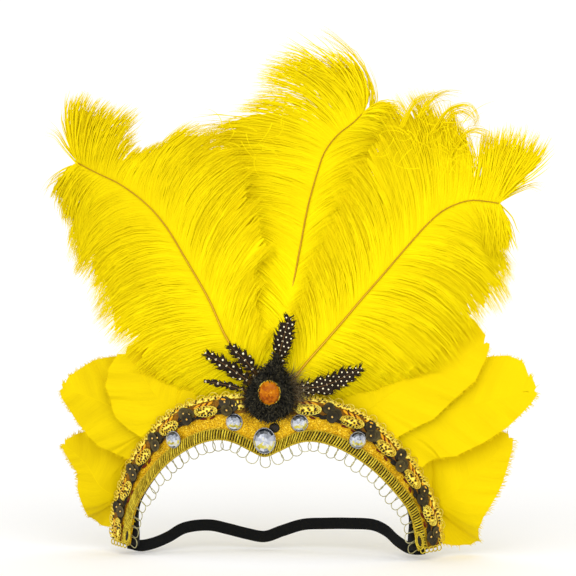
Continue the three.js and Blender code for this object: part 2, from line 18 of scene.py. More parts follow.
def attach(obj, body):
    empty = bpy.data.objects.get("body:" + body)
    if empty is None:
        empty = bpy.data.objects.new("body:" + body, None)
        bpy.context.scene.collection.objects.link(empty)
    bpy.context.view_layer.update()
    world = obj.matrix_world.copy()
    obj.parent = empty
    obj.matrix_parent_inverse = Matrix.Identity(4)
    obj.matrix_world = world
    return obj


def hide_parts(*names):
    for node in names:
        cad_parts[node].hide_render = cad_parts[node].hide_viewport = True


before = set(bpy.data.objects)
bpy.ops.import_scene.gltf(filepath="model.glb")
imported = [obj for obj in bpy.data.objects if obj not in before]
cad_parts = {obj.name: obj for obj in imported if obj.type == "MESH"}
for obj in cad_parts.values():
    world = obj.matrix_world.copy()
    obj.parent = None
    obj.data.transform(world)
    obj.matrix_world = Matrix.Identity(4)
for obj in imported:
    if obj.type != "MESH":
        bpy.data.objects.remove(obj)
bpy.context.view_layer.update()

Array = np.ndarray
Values = Array | float
Rng = np.random.Generator
Material = bpy.types.Material
Socket = bpy.types.NodeSocket
Colour = tuple[float, float, float]
Point = tuple[float, float, float]
Span = tuple[float, float]
Points = tuple[Point, ...]
Spans = tuple[Span, ...]
MM = 0.001
FRONT = np.array([0.0, -1.0, 0.0])
UP = np.array([0.0, 0.0, 1.0])
CURVE_STEPS = 801
SLOPE_STEP = 0.004
LINE_STEPS = 1201
LINE_SLOPE = 0.003
BAND_STEPS = 161
LOG = logging.getLogger("headdress")


def once_round(count: int) -> Array:
    """Angles in even steps once round."""
    return np.linspace(0, 2 * np.pi, count, endpoint=False)


def polygon(sides: int) -> Spans:
    """Corners of a regular polygon of radius 1, counted round from the first axis."""
    turns = once_round(sides)
    return tuple(zip(np.cos(turns).tolist(), np.sin(turns).tolist()))


class Section(Enum):
    """Cross-sections that a path carries, as corners in half widths and half thicknesses."""

    BLADE = ((-1.0, -0.5), (1.0, -0.5), (0.0, 1.0))
    RIBBON = ((1.0, 0.0), (0.0, 1.0), (-1.0, 0.0), (0.0, -1.0))
    THREAD = polygon(5)
    CORD = polygon(7)
    ROD = polygon(10)


class Side(Enum):
    """The two sides of a feather or of the band, as the sign of the way that they point."""

    LEFT = -1
    RIGHT = 1


class Slot(Enum):
    """The record's material slots."""

    CLOTH = "gold_cloth"
    FELT = "black_felt"
    THREAD = "gold_thread"
    SEQUIN = "dark_sequin"
    CLEAR = "clear_stone"
    AMBER = "amber_stone"
    YELLOW = "yellow_feather"
    SPOTTED = "spotted_feather"
    ELASTIC = "black_elastic"


def unit(vectors: Array) -> Array:
    """Vectors brought to length 1."""
    return vectors / np.maximum(np.linalg.norm(vectors, axis=-1, keepdims=True), 1e-9)


def ease(share: Array) -> Array:
    """A share that starts and ends gently: 3 s^2 - 2 s^3."""
    return share**2 * (3 - 2 * share)


def distances(points: Array, axis: int = 0) -> Array:
    """Lengths from the start along lines of points."""
    steps = np.diff(points, axis=axis, prepend=np.take(points, [0], axis))
    return np.cumsum(np.linalg.norm(steps, axis=-1), axis=axis)


def linear(colour: Colour) -> tuple[float, float, float, float]:
    """A display colour in steps of 255 as the opaque linear colour that a shader takes."""
    level = np.array(colour) / 255
    light = np.where(level <= 0.04045, level / 12.92, ((level + 0.055) / 1.055) ** 2.4)
    return (*light.tolist(), 1.0)


@dataclass
class Skin:
    """Corner points with their faces and the values that the finishes read.

    points are millimetres, faces holds one array for each number of corners, uv is two values for a
    point, tone and reach are one value for a point, and facet is one value for a face.
    """

    points: Array
    faces: list[Array]
    uv: Array
    tone: Array
    reach: Array
    facet: Array | None = None

    @staticmethod
    def join(skins: Sequence["Skin"]) -> "Skin":
        """Several skins as one.

        Args:
            skins: The skins, which keep their order.

        Returns:
            One skin with all the points and faces.
        """
        starts = np.cumsum([0] + [len(skin.points) for skin in skins])
        faces = [face + start for skin, start in zip(skins, starts) for face in skin.faces]
        labels = ("points", "uv", "tone", "reach")
        parts = [np.concatenate([getattr(skin, label) for skin in skins]) for label in labels]
        return Skin(parts[0], faces, *parts[1:])

    def volume(self) -> float:
        """Six times the volume inside: a . (b x c) summed over the triangles of every face's fan."""
        corners = [self.points[face] for face in self.faces]
        return sum(float(np.sum(c[:, :1] * np.cross(c[:, 1:-1], c[:, 2:]))) for c in corners)

    def triangles(self) -> int:
        """How many triangles the faces make."""
        return sum(len(face) * (face.shape[1] - 2) for face in self.faces)

    def mesh(self, name: str, smooth: bool) -> bpy.types.Mesh:
        """The skin as a Blender mesh in metres.

        Args:
            name: Name of the mesh.
            smooth: Whether its faces are shaded as one rounded surface.

        Returns:
            The mesh with its UV map and its values.
        """
        mesh = bpy.data.meshes.new(name)
        corners = np.concatenate([face.ravel() for face in self.faces]).astype(np.int32)
        sizes = np.concatenate([np.full(len(face), face.shape[1]) for face in self.faces])
        starts = (np.cumsum(sizes) - sizes).astype(np.int32)
        mesh.vertices.add(len(self.points))
        mesh.vertices.foreach_set("co", (self.points * MM).astype(np.float32).ravel())
        mesh.loops.add(len(corners))
        mesh.loops.foreach_set("vertex_index", corners)
        mesh.polygons.add(len(sizes))
        mesh.polygons.foreach_set("loop_start", starts)
        mesh.polygons.foreach_set("use_smooth", np.full(len(sizes), smooth))
        layer = mesh.uv_layers.new(name="UVMap")
        layer.uv.foreach_set("vector", self.uv[corners].astype(np.float32).ravel())
        for label, values, domain in (
            ("tone", self.tone, "POINT"),
            ("reach", self.reach, "POINT"),
            ("facet", self.facet, "FACE"),
        ):
            if values is not None:
                attribute = mesh.attributes.new(label, "FLOAT", domain)
                attribute.data.foreach_set("value", values.astype(np.float32))
        mesh.update(calc_edges=True)
        return mesh


def loft(rings: Array, uv: Array, tone: Values = 0.5, reach: Values = 0.0, closed: bool = False) -> Skin:
    """Closed skins through rings of corners: quads between rings, and a face on each open end.

    Args:
        rings: Corners by skin, ring and place on the ring.
        uv: Two values for each corner.
        tone: One value for each corner, or what spreads to it.
        reach: One value for each corner, or what spreads to it.
        closed: Whether the last ring joins the first.

    Returns:
        One skin with all the parts, its faces looking out.
    """
    shape = rings.shape[:3]
    index = np.arange(np.prod(shape)).reshape(shape)
    here = index if closed else index[:, :-1]
    ahead = np.roll(index, -1, axis=1) if closed else index[:, 1:]
    quads = np.stack([here, ahead, np.roll(ahead, -1, 2), np.roll(here, -1, 2)], axis=-1)
    faces = [quads.reshape(-1, 4)]
    if not closed:
        faces += [index[:, 0], index[:, -1, ::-1]]
    skin = Skin(
        rings.reshape(-1, 3),
        faces,
        np.broadcast_to(uv, (*shape, 2)).reshape(-1, 2),
        np.broadcast_to(tone, shape).ravel(),
        np.broadcast_to(reach, shape).ravel(),
    )
    if skin.volume() < 0:
        skin.faces = [face[:, ::-1] for face in faces]
    return skin


def sweep(
    paths: Array,
    facing: Array,
    wide: Values,
    thick: Values,
    section: Section,
    tone: Values = 0.5,
    uv: Array | None = None,
    closed: bool = False,
) -> Skin:
    """A section carried along many paths: its width lies square to the path and to facing.

    A corner is the path's point plus half width x first value x (way x facing) plus half thickness x
    second value x the direction square to both.

    Args:
        paths: Points by path and step.
        facing: The direction that the flat side looks in, for each point or for all.
        wide: Half width for each point, each path or all.
        thick: Half thickness for each point, each path or all.
        section: The cross-section.
        tone: Value for each point, each path or all.
        uv: Two values for each point of a path; millimetres across and along where it is left out.
        closed: Whether each path runs back into its start.

    Returns:
        One skin with a closed strand for each path.
    """
    shape = paths.shape[:2]
    if closed:
        way = unit(np.roll(paths, -1, 1) - np.roll(paths, 1, 1))
    else:
        way = unit(np.gradient(paths, axis=1))
    across = unit(np.cross(way, np.broadcast_to(facing, paths.shape)))
    through = np.cross(across, way)
    wide = np.broadcast_to(wide, shape)[..., None]
    thick = np.broadcast_to(thick, shape)[..., None]
    corners = np.array(section.value)
    rings = (
        paths[:, :, None]
        + (across * wide)[:, :, None] * corners[:, :1]
        + (through * thick)[:, :, None] * corners[:, 1:]
    )
    along = distances(paths, 1)[:, :, None] + 0 * corners[:, 0]
    if uv is None:
        spread = np.stack([wide * corners[:, 0], along], axis=-1)
    else:
        spread = np.broadcast_to(uv[:, :, None], (*rings.shape[:3], 2))
    return loft(rings, spread, np.broadcast_to(tone, shape)[..., None], closed=closed)


def turned(centres: Array, axes: Array, profile: Spans, sides: int, tone: Values = 0.5) -> Skin:
    """Many turned shapes: rings of a profile's radius at its height over each centre.

    Args:
        centres: Middle of each shape.
        axes: For each shape its two half axes and its unit direction outward, as rows.
        profile: Rows of radius, in half axes, and height outward, in millimetres.
        sides: Corners of a ring.
        tone: Value for each shape or all.

    Returns:
        One skin with a closed shape for each centre.
    """
    corners = np.array(polygon(sides))
    rows = np.array(profile)
    flat = rows[:, None, :1] * corners
    rings = (
        centres[:, None, None]
        + flat[None, ..., :1] * axes[:, None, None, 0]
        + flat[None, ..., 1:] * axes[:, None, None, 1]
        + rows[None, :, None, 1:] * axes[:, None, None, 2]
    )
    uv = np.broadcast_to(flat, (*rings.shape[:3], 2))
    tones = np.broadcast_to(tone, len(centres))[:, None, None]
    return loft(rings, uv, tones, rows[None, :, None, 0])


@dataclass(frozen=True)
class Curve:
    """A smooth curve through points: a Catmull-Rom spline whose knots lie the root of a span apart."""

    points: tuple[tuple[float, ...], ...]

    def at(self, share: Array) -> Array:
        """Points at shares of the count of spans.

        A span from b to c is the cubic with end slopes (b - a)/d0 - (c - a)/(d0 + d1) + (c - b)/d1
        and its mirror, where d0, d1 and d2 are the roots of the lengths of the spans.

        Args:
            share: Shares from 0 to 1.

        Returns:
            A point for each share.
        """
        points = np.array(self.points, float)
        ends = np.vstack([2 * points[0] - points[1], points, 2 * points[-1] - points[-2]])
        place = np.clip(share, 0, 1) * (len(points) - 1)
        span = np.minimum(place.astype(int), len(points) - 2)
        t = (place - span)[..., None]
        a, b, c, d = (ends[span + i] for i in range(4))
        spans = (b - a, c - b, d - c)
        d0, d1, d2 = (np.sqrt(np.linalg.norm(gap, axis=-1, keepdims=True)) for gap in spans)
        leave = d1 * ((b - a) / d0 - (c - a) / (d0 + d1) + (c - b) / d1)
        arrive = d1 * ((c - b) / d1 - (d - b) / (d1 + d2) + (d - c) / d2)
        bend = 3 * (c - b) - 2 * leave - arrive
        return b + t * (leave + t * (bend + t * (2 * (b - c) + leave + arrive)))

    def shares(self, wanted: Array) -> tuple[Array, float]:
        """Shares of the spans at shares of the length, and the length."""
        fine = np.linspace(0, 1, CURVE_STEPS)
        lengths = distances(self.at(fine))
        return np.interp(wanted, lengths / lengths[-1], fine), float(lengths[-1])

    def length(self) -> float:
        """The length of the curve."""
        return self.shares(np.zeros(1))[1]

    def frames(self, wanted: Array) -> tuple[Array, Array, Array, Array]:
        """Places on the curve with their directions.

        Args:
            wanted: Shares of the length.

        Returns:
            Points, directions along the curve, directions that face the front square to it, and
            directions to the side.
        """
        points = self.at(self.shares(wanted)[0])
        fore = self.at(self.shares(np.minimum(wanted + SLOPE_STEP, 1))[0])
        aft = self.at(self.shares(np.maximum(wanted - SLOPE_STEP, 0))[0])
        along = unit(fore - aft)
        facing = unit(FRONT - along * (along @ FRONT)[..., None])
        return points, along, facing, np.cross(along, facing)


def add_piece(
    name: str,
    skin: Skin,
    finish: "Finish",
    slot: Slot,
    replaces: Sequence[str] = (),
    smooth: bool = True,
) -> bpy.types.Object:
    """Puts a skin into the scene at the origin, riding on the root body.

    Args:
        name: Name of the piece.
        skin: Its shape.
        finish: Its finish.
        slot: The record's slot that the finish belongs to; not used.
        replaces: Names of the nodes that the piece stands for.
        smooth: Whether it is shaded as a rounded surface.

    Returns:
        The object.
    """
    piece = bpy.data.objects.new(name, skin.mesh(name, smooth))
    piece.data.materials.append(finish.material())
    bpy.context.scene.collection.objects.link(piece)
    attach(piece, "root")
    if replaces:
        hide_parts(*replaces)
    LOG.info("%s: %d triangles", name, skin.triangles())
    return piece


class Graph:
    """The node tree of one material, with short calls that add and join its nodes."""

    def __init__(self, name: str, **fixed: float) -> None:
        """Starts a material.

        Args:
            name: Name of the material.
            fixed: Values for the shader's own sockets, with _ for a space and each word capitalised.
        """
        self.material = bpy.data.materials.new(name)
        self.material.use_nodes = True
        self.nodes = self.material.node_tree.nodes
        self.links = self.material.node_tree.links
        self.shader = self.nodes["Principled BSDF"]
        for label, value in fixed.items():
            words = ["IOR" if word == "ior" else word.capitalize() for word in label.split("_")]
            self.shader.inputs[" ".join(words)].default_value = value

    def node(self, kind: str, inputs: dict[str | int, object], **settings: object) -> bpy.types.Node:
        """Adds a node.

        Args:
            kind: Its type.
            inputs: Values or other nodes' outputs for its sockets.
            settings: Its own properties.

        Returns:
            The node.
        """
        node = self.nodes.new(kind)
        for label, value in settings.items():
            setattr(node, label, value)
        for label, value in inputs.items():
            if isinstance(value, Socket):
                self.links.new(value, node.inputs[label])
            else:
                node.inputs[label].default_value = value
        return node

    def value(self, label: str) -> Socket:
        """A value that the mesh carries."""
        return self.node("ShaderNodeAttribute", {}, attribute_name=label).outputs["Fac"]

    def uv(self, scale: Point, turn: float = 0.0) -> Socket:
        """The piece's UV map, stretched and turned."""
        source = self.node("ShaderNodeUVMap", {}, uv_map="UVMap").outputs["UV"]
        mapping = {"Vector": source, "Scale": scale, "Rotation": (0.0, 0.0, turn)}
        return self.node("ShaderNodeMapping", mapping).outputs["Vector"]

    def place(self) -> Socket:
        """Object coordinates, in metres."""
        return self.node("ShaderNodeTexCoord", {}).outputs["Object"]

    def noise(self, vector: Socket, scale: float, detail: float = 2.0) -> Socket:
        """Cloudy noise from 0 to 1."""
        inputs = {"Vector": vector, "Scale": scale, "Detail": detail}
        return self.node("ShaderNodeTexNoise", inputs).outputs["Fac"]

    def cloud(self, scale: float, detail: float = 2.0) -> Socket:
        """Cloudy noise through the object."""
        return self.noise(self.place(), scale, detail)

    def streak(self, stretch: Point) -> Socket:
        """Noise stretched along the strands."""
        return self.noise(self.uv(stretch), 1.0, 3.0)

    def bands(self, stretch: Point, turn: float, scale: float, wobble: float) -> Socket:
        """Wavering bands on the UV map, from 0 to 1."""
        inputs = {"Vector": self.uv(stretch, turn), "Scale": scale, "Distortion": wobble}
        return self.node("ShaderNodeTexWave", inputs).outputs["Fac"]

    def holes(self, scale: float) -> Socket:
        """Distances from the middles of flat cells over the front."""
        front = {"Vector": self.place(), "Rotation": (np.pi / 2, 0.0, 0.0)}
        return self.cells(self.node("ShaderNodeMapping", front).outputs["Vector"], scale, "2D")[1]

    def cells(self, vector: Socket, scale: float, dimensions: str = "3D") -> tuple[Socket, Socket]:
        """Cells as their random colour and the distance from their middle."""
        inputs = {"Vector": vector, "Scale": scale}
        node = self.node("ShaderNodeTexVoronoi", inputs, voronoi_dimensions=dimensions)
        return node.outputs["Color"], node.outputs["Distance"]

    def math(self, operation: str, *terms: object) -> Socket:
        """A sum on values."""
        return self.node("ShaderNodeMath", dict(enumerate(terms)), operation=operation).outputs["Value"]

    def blend(self, *parts: tuple[Socket, float]) -> Socket:
        """Values added up, each times its share."""
        total = self.math("MULTIPLY", *parts[0])
        for source, share in parts[1:]:
            total = self.math("MULTIPLY_ADD", source, share, total)
        return total

    def ramp(self, share: Socket, *stops: tuple[float, Colour]) -> Socket:
        """Colours between stops."""
        node = self.node("ShaderNodeValToRGB", {"Fac": share})
        elements = node.color_ramp.elements
        for element, (at, colour) in zip(elements, (stops[0], stops[-1])):
            element.position = at
            element.color = linear(colour)
        for at, colour in stops[1:-1]:
            elements.new(at).color = linear(colour)
        return node.outputs["Color"]

    def levels(self, share: Socket, low: float, high: float) -> Socket:
        """A value of 0 to 1 brought between two levels."""
        return self.node("ShaderNodeMapRange", {"Value": share, "To Min": low, "To Max": high}).outputs[0]

    def paint(self, label: str, source: Socket) -> None:
        """Joins an output to one of the shader's sockets."""
        self.links.new(source, self.shader.inputs[label])

    def colour(self, share: Socket, *stops: tuple[float, Colour]) -> None:
        """Paints the base colour by stops."""
        self.paint("Base Color", self.ramp(share, *stops))

    def bump(self, height: Socket, strength: float, distance: float) -> None:
        """Relief in the shading, with its depth in millimetres."""
        inputs = {"Height": height, "Strength": strength, "Distance": distance * MM}
        self.paint("Normal", self.node("ShaderNodeBump", inputs).outputs["Normal"])


class Finish:
    """What a piece is dressed in: a name, and a material that is made at its first use."""

    name: str

    def make(self) -> Material:
        """The material."""
        raise NotImplementedError

    def material(self) -> Material:
        """The material, made at its first use."""
        return bpy.data.materials.get(self.name) or self.make()


@dataclass(frozen=True)
class BlendFinish(Finish):
    """Colours at stops along a blend of sources, and relief by one of them.

    A row of blend is a source and its share. relief is which of them it is, its strength and its depth in
    millimetres.
    """

    name: str
    stops: tuple[float, ...]
    blend: tuple[tuple[Callable[[Graph], Socket], float], ...]
    relief: tuple[int, float, float]
    rough: float
    shine: float
    metal: float = 0.0
    coat: float = 0.0
    colours: tuple[Colour, ...] = ()

    def dyed(self, name: str, *colours: Colour, **changes: object) -> "BlendFinish":
        """The same kind of finish under another name, in its own colours and with its own changes."""
        return replace(self, name=name, colours=colours, **changes)

    def make(self) -> Material:
        """The material."""
        looks = {"roughness": self.rough, "specular_ior_level": self.shine, "coat_weight": self.coat}
        graph = Graph(self.name, metallic=self.metal, **looks)
        sources = [(source(graph), share) for source, share in self.blend]
        graph.colour(graph.blend(*sources), *zip(self.stops, self.colours))
        which, strength, distance = self.relief
        if strength > 0:
            graph.bump(sources[which][0], strength, distance)
        return graph.material


@dataclass(frozen=True)
class SpottedFinish(Finish):
    """A dark vane with rows of cream dots; the UV map counts dots across and along."""

    name: str = "spotted vane"
    dark: Colour = (16, 10, 4)
    brown: Colour = (40, 26, 10)
    dot: Colour = (246, 236, 196)
    size: float = 0.16
    ragged: float = 0.16

    def make(self) -> Material:
        """The material."""
        graph = Graph(self.name, roughness=0.6, specular_ior_level=0.15)
        split = graph.node("ShaderNodeSeparateXYZ", {0: graph.uv((1.0, 1.0, 1.0))})
        row = graph.math("FLOOR", split.outputs["Y"])
        shift = graph.math("MULTIPLY_ADD", row, 0.5, split.outputs["X"])
        across = graph.math("SUBTRACT", graph.math("FRACT", shift), 0.5)
        along = graph.math("SUBTRACT", graph.math("FRACT", split.outputs["Y"]), 0.5)
        square = graph.math("MULTIPLY_ADD", across, across, graph.math("MULTIPLY", along, along))
        grain = graph.cloud(900.0)
        away = graph.math("MULTIPLY_ADD", grain, self.ragged, graph.math("SQRT", square))
        mask = graph.math("LESS_THAN", away, self.size + self.ragged / 2)
        ground = graph.ramp(graph.value("tone"), (0.1, self.dark), (0.9, self.brown))
        mixed = graph.node("ShaderNodeMix", {0: mask, 6: ground, 7: linear(self.dot)}, data_type="RGBA")
        graph.paint("Base Color", mixed.outputs[2])
        graph.bump(grain, strength=0.4, distance=0.15)
        return graph.material


@dataclass(frozen=True)
class GlitterFinish(Finish):
    """Cloth set with tiny gold flakes, each with its own brightness, gloss and tilt; the brightest are
    painted glints.
    """

    name: str = "glitter cloth"
    dark: Colour = (152, 108, 0)
    gold: Colour = (206, 156, 0)
    bright: Colour = (226, 180, 6)
    spark: Colour = (250, 218, 70)
    flakes: float = 1500.0

    def make(self) -> Material:
        """The material."""
        graph = Graph(self.name, metallic=0.15, specular_ior_level=0.15)
        colour, distance = graph.cells(graph.place(), self.flakes)
        flake = graph.node("ShaderNodeSeparateColor", {0: colour})
        cloud = graph.cloud(260.0)
        # Each flake's random brightness stands partly for its own tone and partly for painted glint and
        # shade; spark is the painted glint.
        share = graph.blend((flake.outputs[0], 0.75), (cloud, 0.4))
        stops = ((0.15, self.dark), (0.5, self.gold), (0.82, self.bright), (0.95, self.spark))
        graph.colour(share, *stops)
        graph.paint("Roughness", graph.levels(flake.outputs[1], 0.3, 0.7))
        tilt = graph.blend((flake.outputs[2], 0.7), (distance, 0.6))
        graph.bump(tilt, strength=0.8, distance=0.3)
        return graph.material


TONE = partial(Graph.value, label="tone")
REACH = partial(Graph.value, label="reach")
FACET = partial(Graph.value, label="facet")
STREAK = partial(Graph.streak, stretch=(2.6, 0.05, 1.0))
QUILL_GRAIN = partial(Graph.streak, stretch=(3.0, 0.12, 1.0))
TWIST = partial(Graph.bands, stretch=(1.0, 1.0, 1.0), turn=0.7, scale=0.9, wobble=1.5)
WEAVE = partial(Graph.bands, stretch=(0.25, 1.6, 1.0), turn=np.pi / 2, scale=0.8, wobble=1.0)
HOLES = partial(Graph.holes, scale=440.0)
SOFT_CLOUD = partial(Graph.cloud, scale=38.0)
STONE_CLOUD = partial(Graph.cloud, scale=330.0)
WORN = partial(Graph.cloud, scale=420.0)
THREAD_GRAIN = partial(Graph.cloud, scale=520.0)
PILE_GRAIN = partial(Graph.cloud, scale=700.0, detail=4.0)
FINE_GRAIN = partial(Graph.cloud, scale=900.0)

BARB_BLEND = ((TONE, 0.5), (STREAK, 0.4), (SOFT_CLOUD, 0.25))
VANE_BLEND = ((TONE, 0.5), (STREAK, 0.36), (SOFT_CLOUD, 0.25))
SHAFT_BLEND = ((TONE, 0.7), (QUILL_GRAIN, 0.5))
# The twist's share darkens threads in its grooves and lightens them on its ridges, painted shade and
# highlight that follow its relief; tone and grain vary them at random.
THREAD_BLEND = ((TONE, 0.4), (TWIST, 0.25), (THREAD_GRAIN, 0.5))
PILE_BLEND = ((TONE, 0.5), (PILE_GRAIN, 0.5))
NET_BLEND = ((HOLES, 0.9), (FINE_GRAIN, 0.25))
# On the sequins REACH makes the rim brighter than the middle, a painted sheen; TONE and the cloud vary them
# at random.
SEQUIN_BLEND = ((REACH, 0.25), (TONE, 0.35), (WORN, 0.5))
ELASTIC_BLEND = ((WEAVE, 0.4), (FINE_GRAIN, 0.5))
# On the stones the facet value is painted reflection, highlight and shade by height; the cloud varies it at
# random.
STONE_BLEND = ((FACET, 0.86), (STONE_CLOUD, 0.24))

FEATHER = BlendFinish("feather", (0.22, 0.55, 1.0), BARB_BLEND, (1, 0.12, 0.2), rough=0.75, shine=0.06)
SHAFT = BlendFinish("shaft", (0.25, 0.55, 0.9), SHAFT_BLEND, (1, 0.4, 0.1), rough=0.5, shine=0.2)
# Thread stops run from a dark groove colour to a pale ridge colour: partly the thread's own tone, partly
# painted shade in the twist's grooves and painted highlight on its ridges.
THREAD = BlendFinish("thread", (0.25, 0.52, 0.82), THREAD_BLEND, (1, 0.6, 0.2), rough=0.34, shine=0.25)
PILE = BlendFinish("pile", (0.25, 0.8), PILE_BLEND, (1, 0.6, 0.4), rough=0.9, shine=0.25)
NET = BlendFinish("net", (0.36, 0.5, 0.72), NET_BLEND, (0, 0.8, 0.5), rough=0.35, shine=0.3, metal=0.15)
SEQUIN = BlendFinish("sequin", (0.3, 0.62, 0.95), SEQUIN_BLEND, (2, 0.35, 0.2), rough=0.35, shine=0.2)
ELASTIC = BlendFinish("elastic", (0.25, 0.85), ELASTIC_BLEND, (0, 0.5, 0.15), rough=0.8, shine=0.15)
GLASS = BlendFinish("glass", (0.1, 0.4, 0.68, 0.95), STONE_BLEND, (0, 0.0, 0.0), rough=0.1, shine=0.5)

YELLOW_BARB = FEATHER.dyed("yellow barb", (214, 188, 0), (230, 207, 0), (255, 236, 0))
YELLOW_VANE = FEATHER.dyed("yellow vane", (204, 175, 0), (224, 197, 0), (240, 213, 0), blend=VANE_BLEND)
QUILL = SHAFT.dyed("quill", (122, 70, 2), (186, 128, 6), (232, 188, 20))
DARK_QUILL = SHAFT.dyed("dark quill", (40, 24, 8), (70, 44, 16), (110, 78, 34))
BRAID_GOLD = THREAD.dyed("braid gold", (72, 56, 0), (168, 138, 4), (244, 222, 66), metal=0.2, rough=0.35)
BRAID_GROUND = THREAD.dyed("braid ground", (24, 17, 0), (42, 32, 2), (70, 55, 6), rough=0.8)
LOOP_GOLD = THREAD.dyed("loop gold", (96, 90, 48), (158, 150, 96), (226, 222, 180), metal=0.35, rough=0.45)
TRIM_GOLD = THREAD.dyed("trim gold", (128, 88, 0), (226, 188, 24), (255, 242, 112), metal=0.2, rough=0.3)
TRIM_ORANGE = THREAD.dyed("trim orange", (160, 88, 0), (232, 156, 4), (250, 202, 40), metal=0.1)
TRIM_GROUND = THREAD.dyed("trim ground", (54, 30, 0), (112, 70, 4), (186, 130, 18), rough=0.7)
RUSSET = THREAD.dyed("russet thread", (42, 8, 2), (92, 24, 4), (140, 50, 10), metal=0.1, rough=0.6)
DARK_CORD = THREAD.dyed("dark cord", (10, 8, 5), (24, 19, 13), (54, 47, 34), metal=0.1, rough=0.5)
BEAD = THREAD.dyed("bead", (140, 88, 10), (206, 150, 44), (246, 214, 130), metal=0.3, rough=0.12)
SETTING = THREAD.dyed("stone setting", (70, 72, 78), (150, 152, 158), (226, 228, 232), metal=0.85, rough=0.25)
# The clear stones' stops are painted reflection: near black and grey for the dark part of the room, white for
# the bright part, and yellow for mirrored feathers.
CLEAR_STONE = GLASS.dyed(
    "clear stone",
    (20, 23, 28), (56, 62, 70), (146, 152, 164), (204, 207, 216), (204, 192, 62), (150, 136, 18),
    stops=(0.1, 0.34, 0.52, 0.68, 0.82, 0.96),
    metal=0.25,
    coat=0.6,
)
# Amber stone: its own orange, with the palest stop a painted highlight and the darkest a painted shade, set
# by height.
AMBER_STONE = GLASS.dyed("amber stone", (84, 32, 0), (160, 78, 0), (200, 122, 6), (246, 206, 90), shine=0.1)
FELT = PILE.dyed("black felt", (10, 10, 9), (44, 45, 46))
# The pale end of the chenille's ramp is a painted glint on a few fibres.
CHENILLE = PILE.dyed("black chenille", (4, 4, 2), (92, 86, 64), rough=0.4)
BROWN_FLUFF = PILE.dyed("brown fluff", (44, 30, 10), (112, 84, 36))
GREY_FLUFF = PILE.dyed("grey fluff", (74, 58, 34), (160, 144, 110))
GOLD_NET = NET.dyed("gold net", (46, 26, 0), (222, 180, 20), (255, 238, 96))
# Dark sequins: the brightest stop is a painted sheen towards the rim.
DARK_SEQUIN = SEQUIN.dyed("dark sequin", (14, 11, 4), (46, 38, 14), (96, 84, 42))
WOVEN_ELASTIC = ELASTIC.dyed("woven elastic", (3, 4, 4), (17, 18, 18))
SPOTTED_VANE = SpottedFinish()
GLITTER_CLOTH = GlitterFinish()


BarbRow = tuple[float, float, float, float]
LOW_FROM, LOW_SPAN, BROW_ROUND = 45, 35, 300


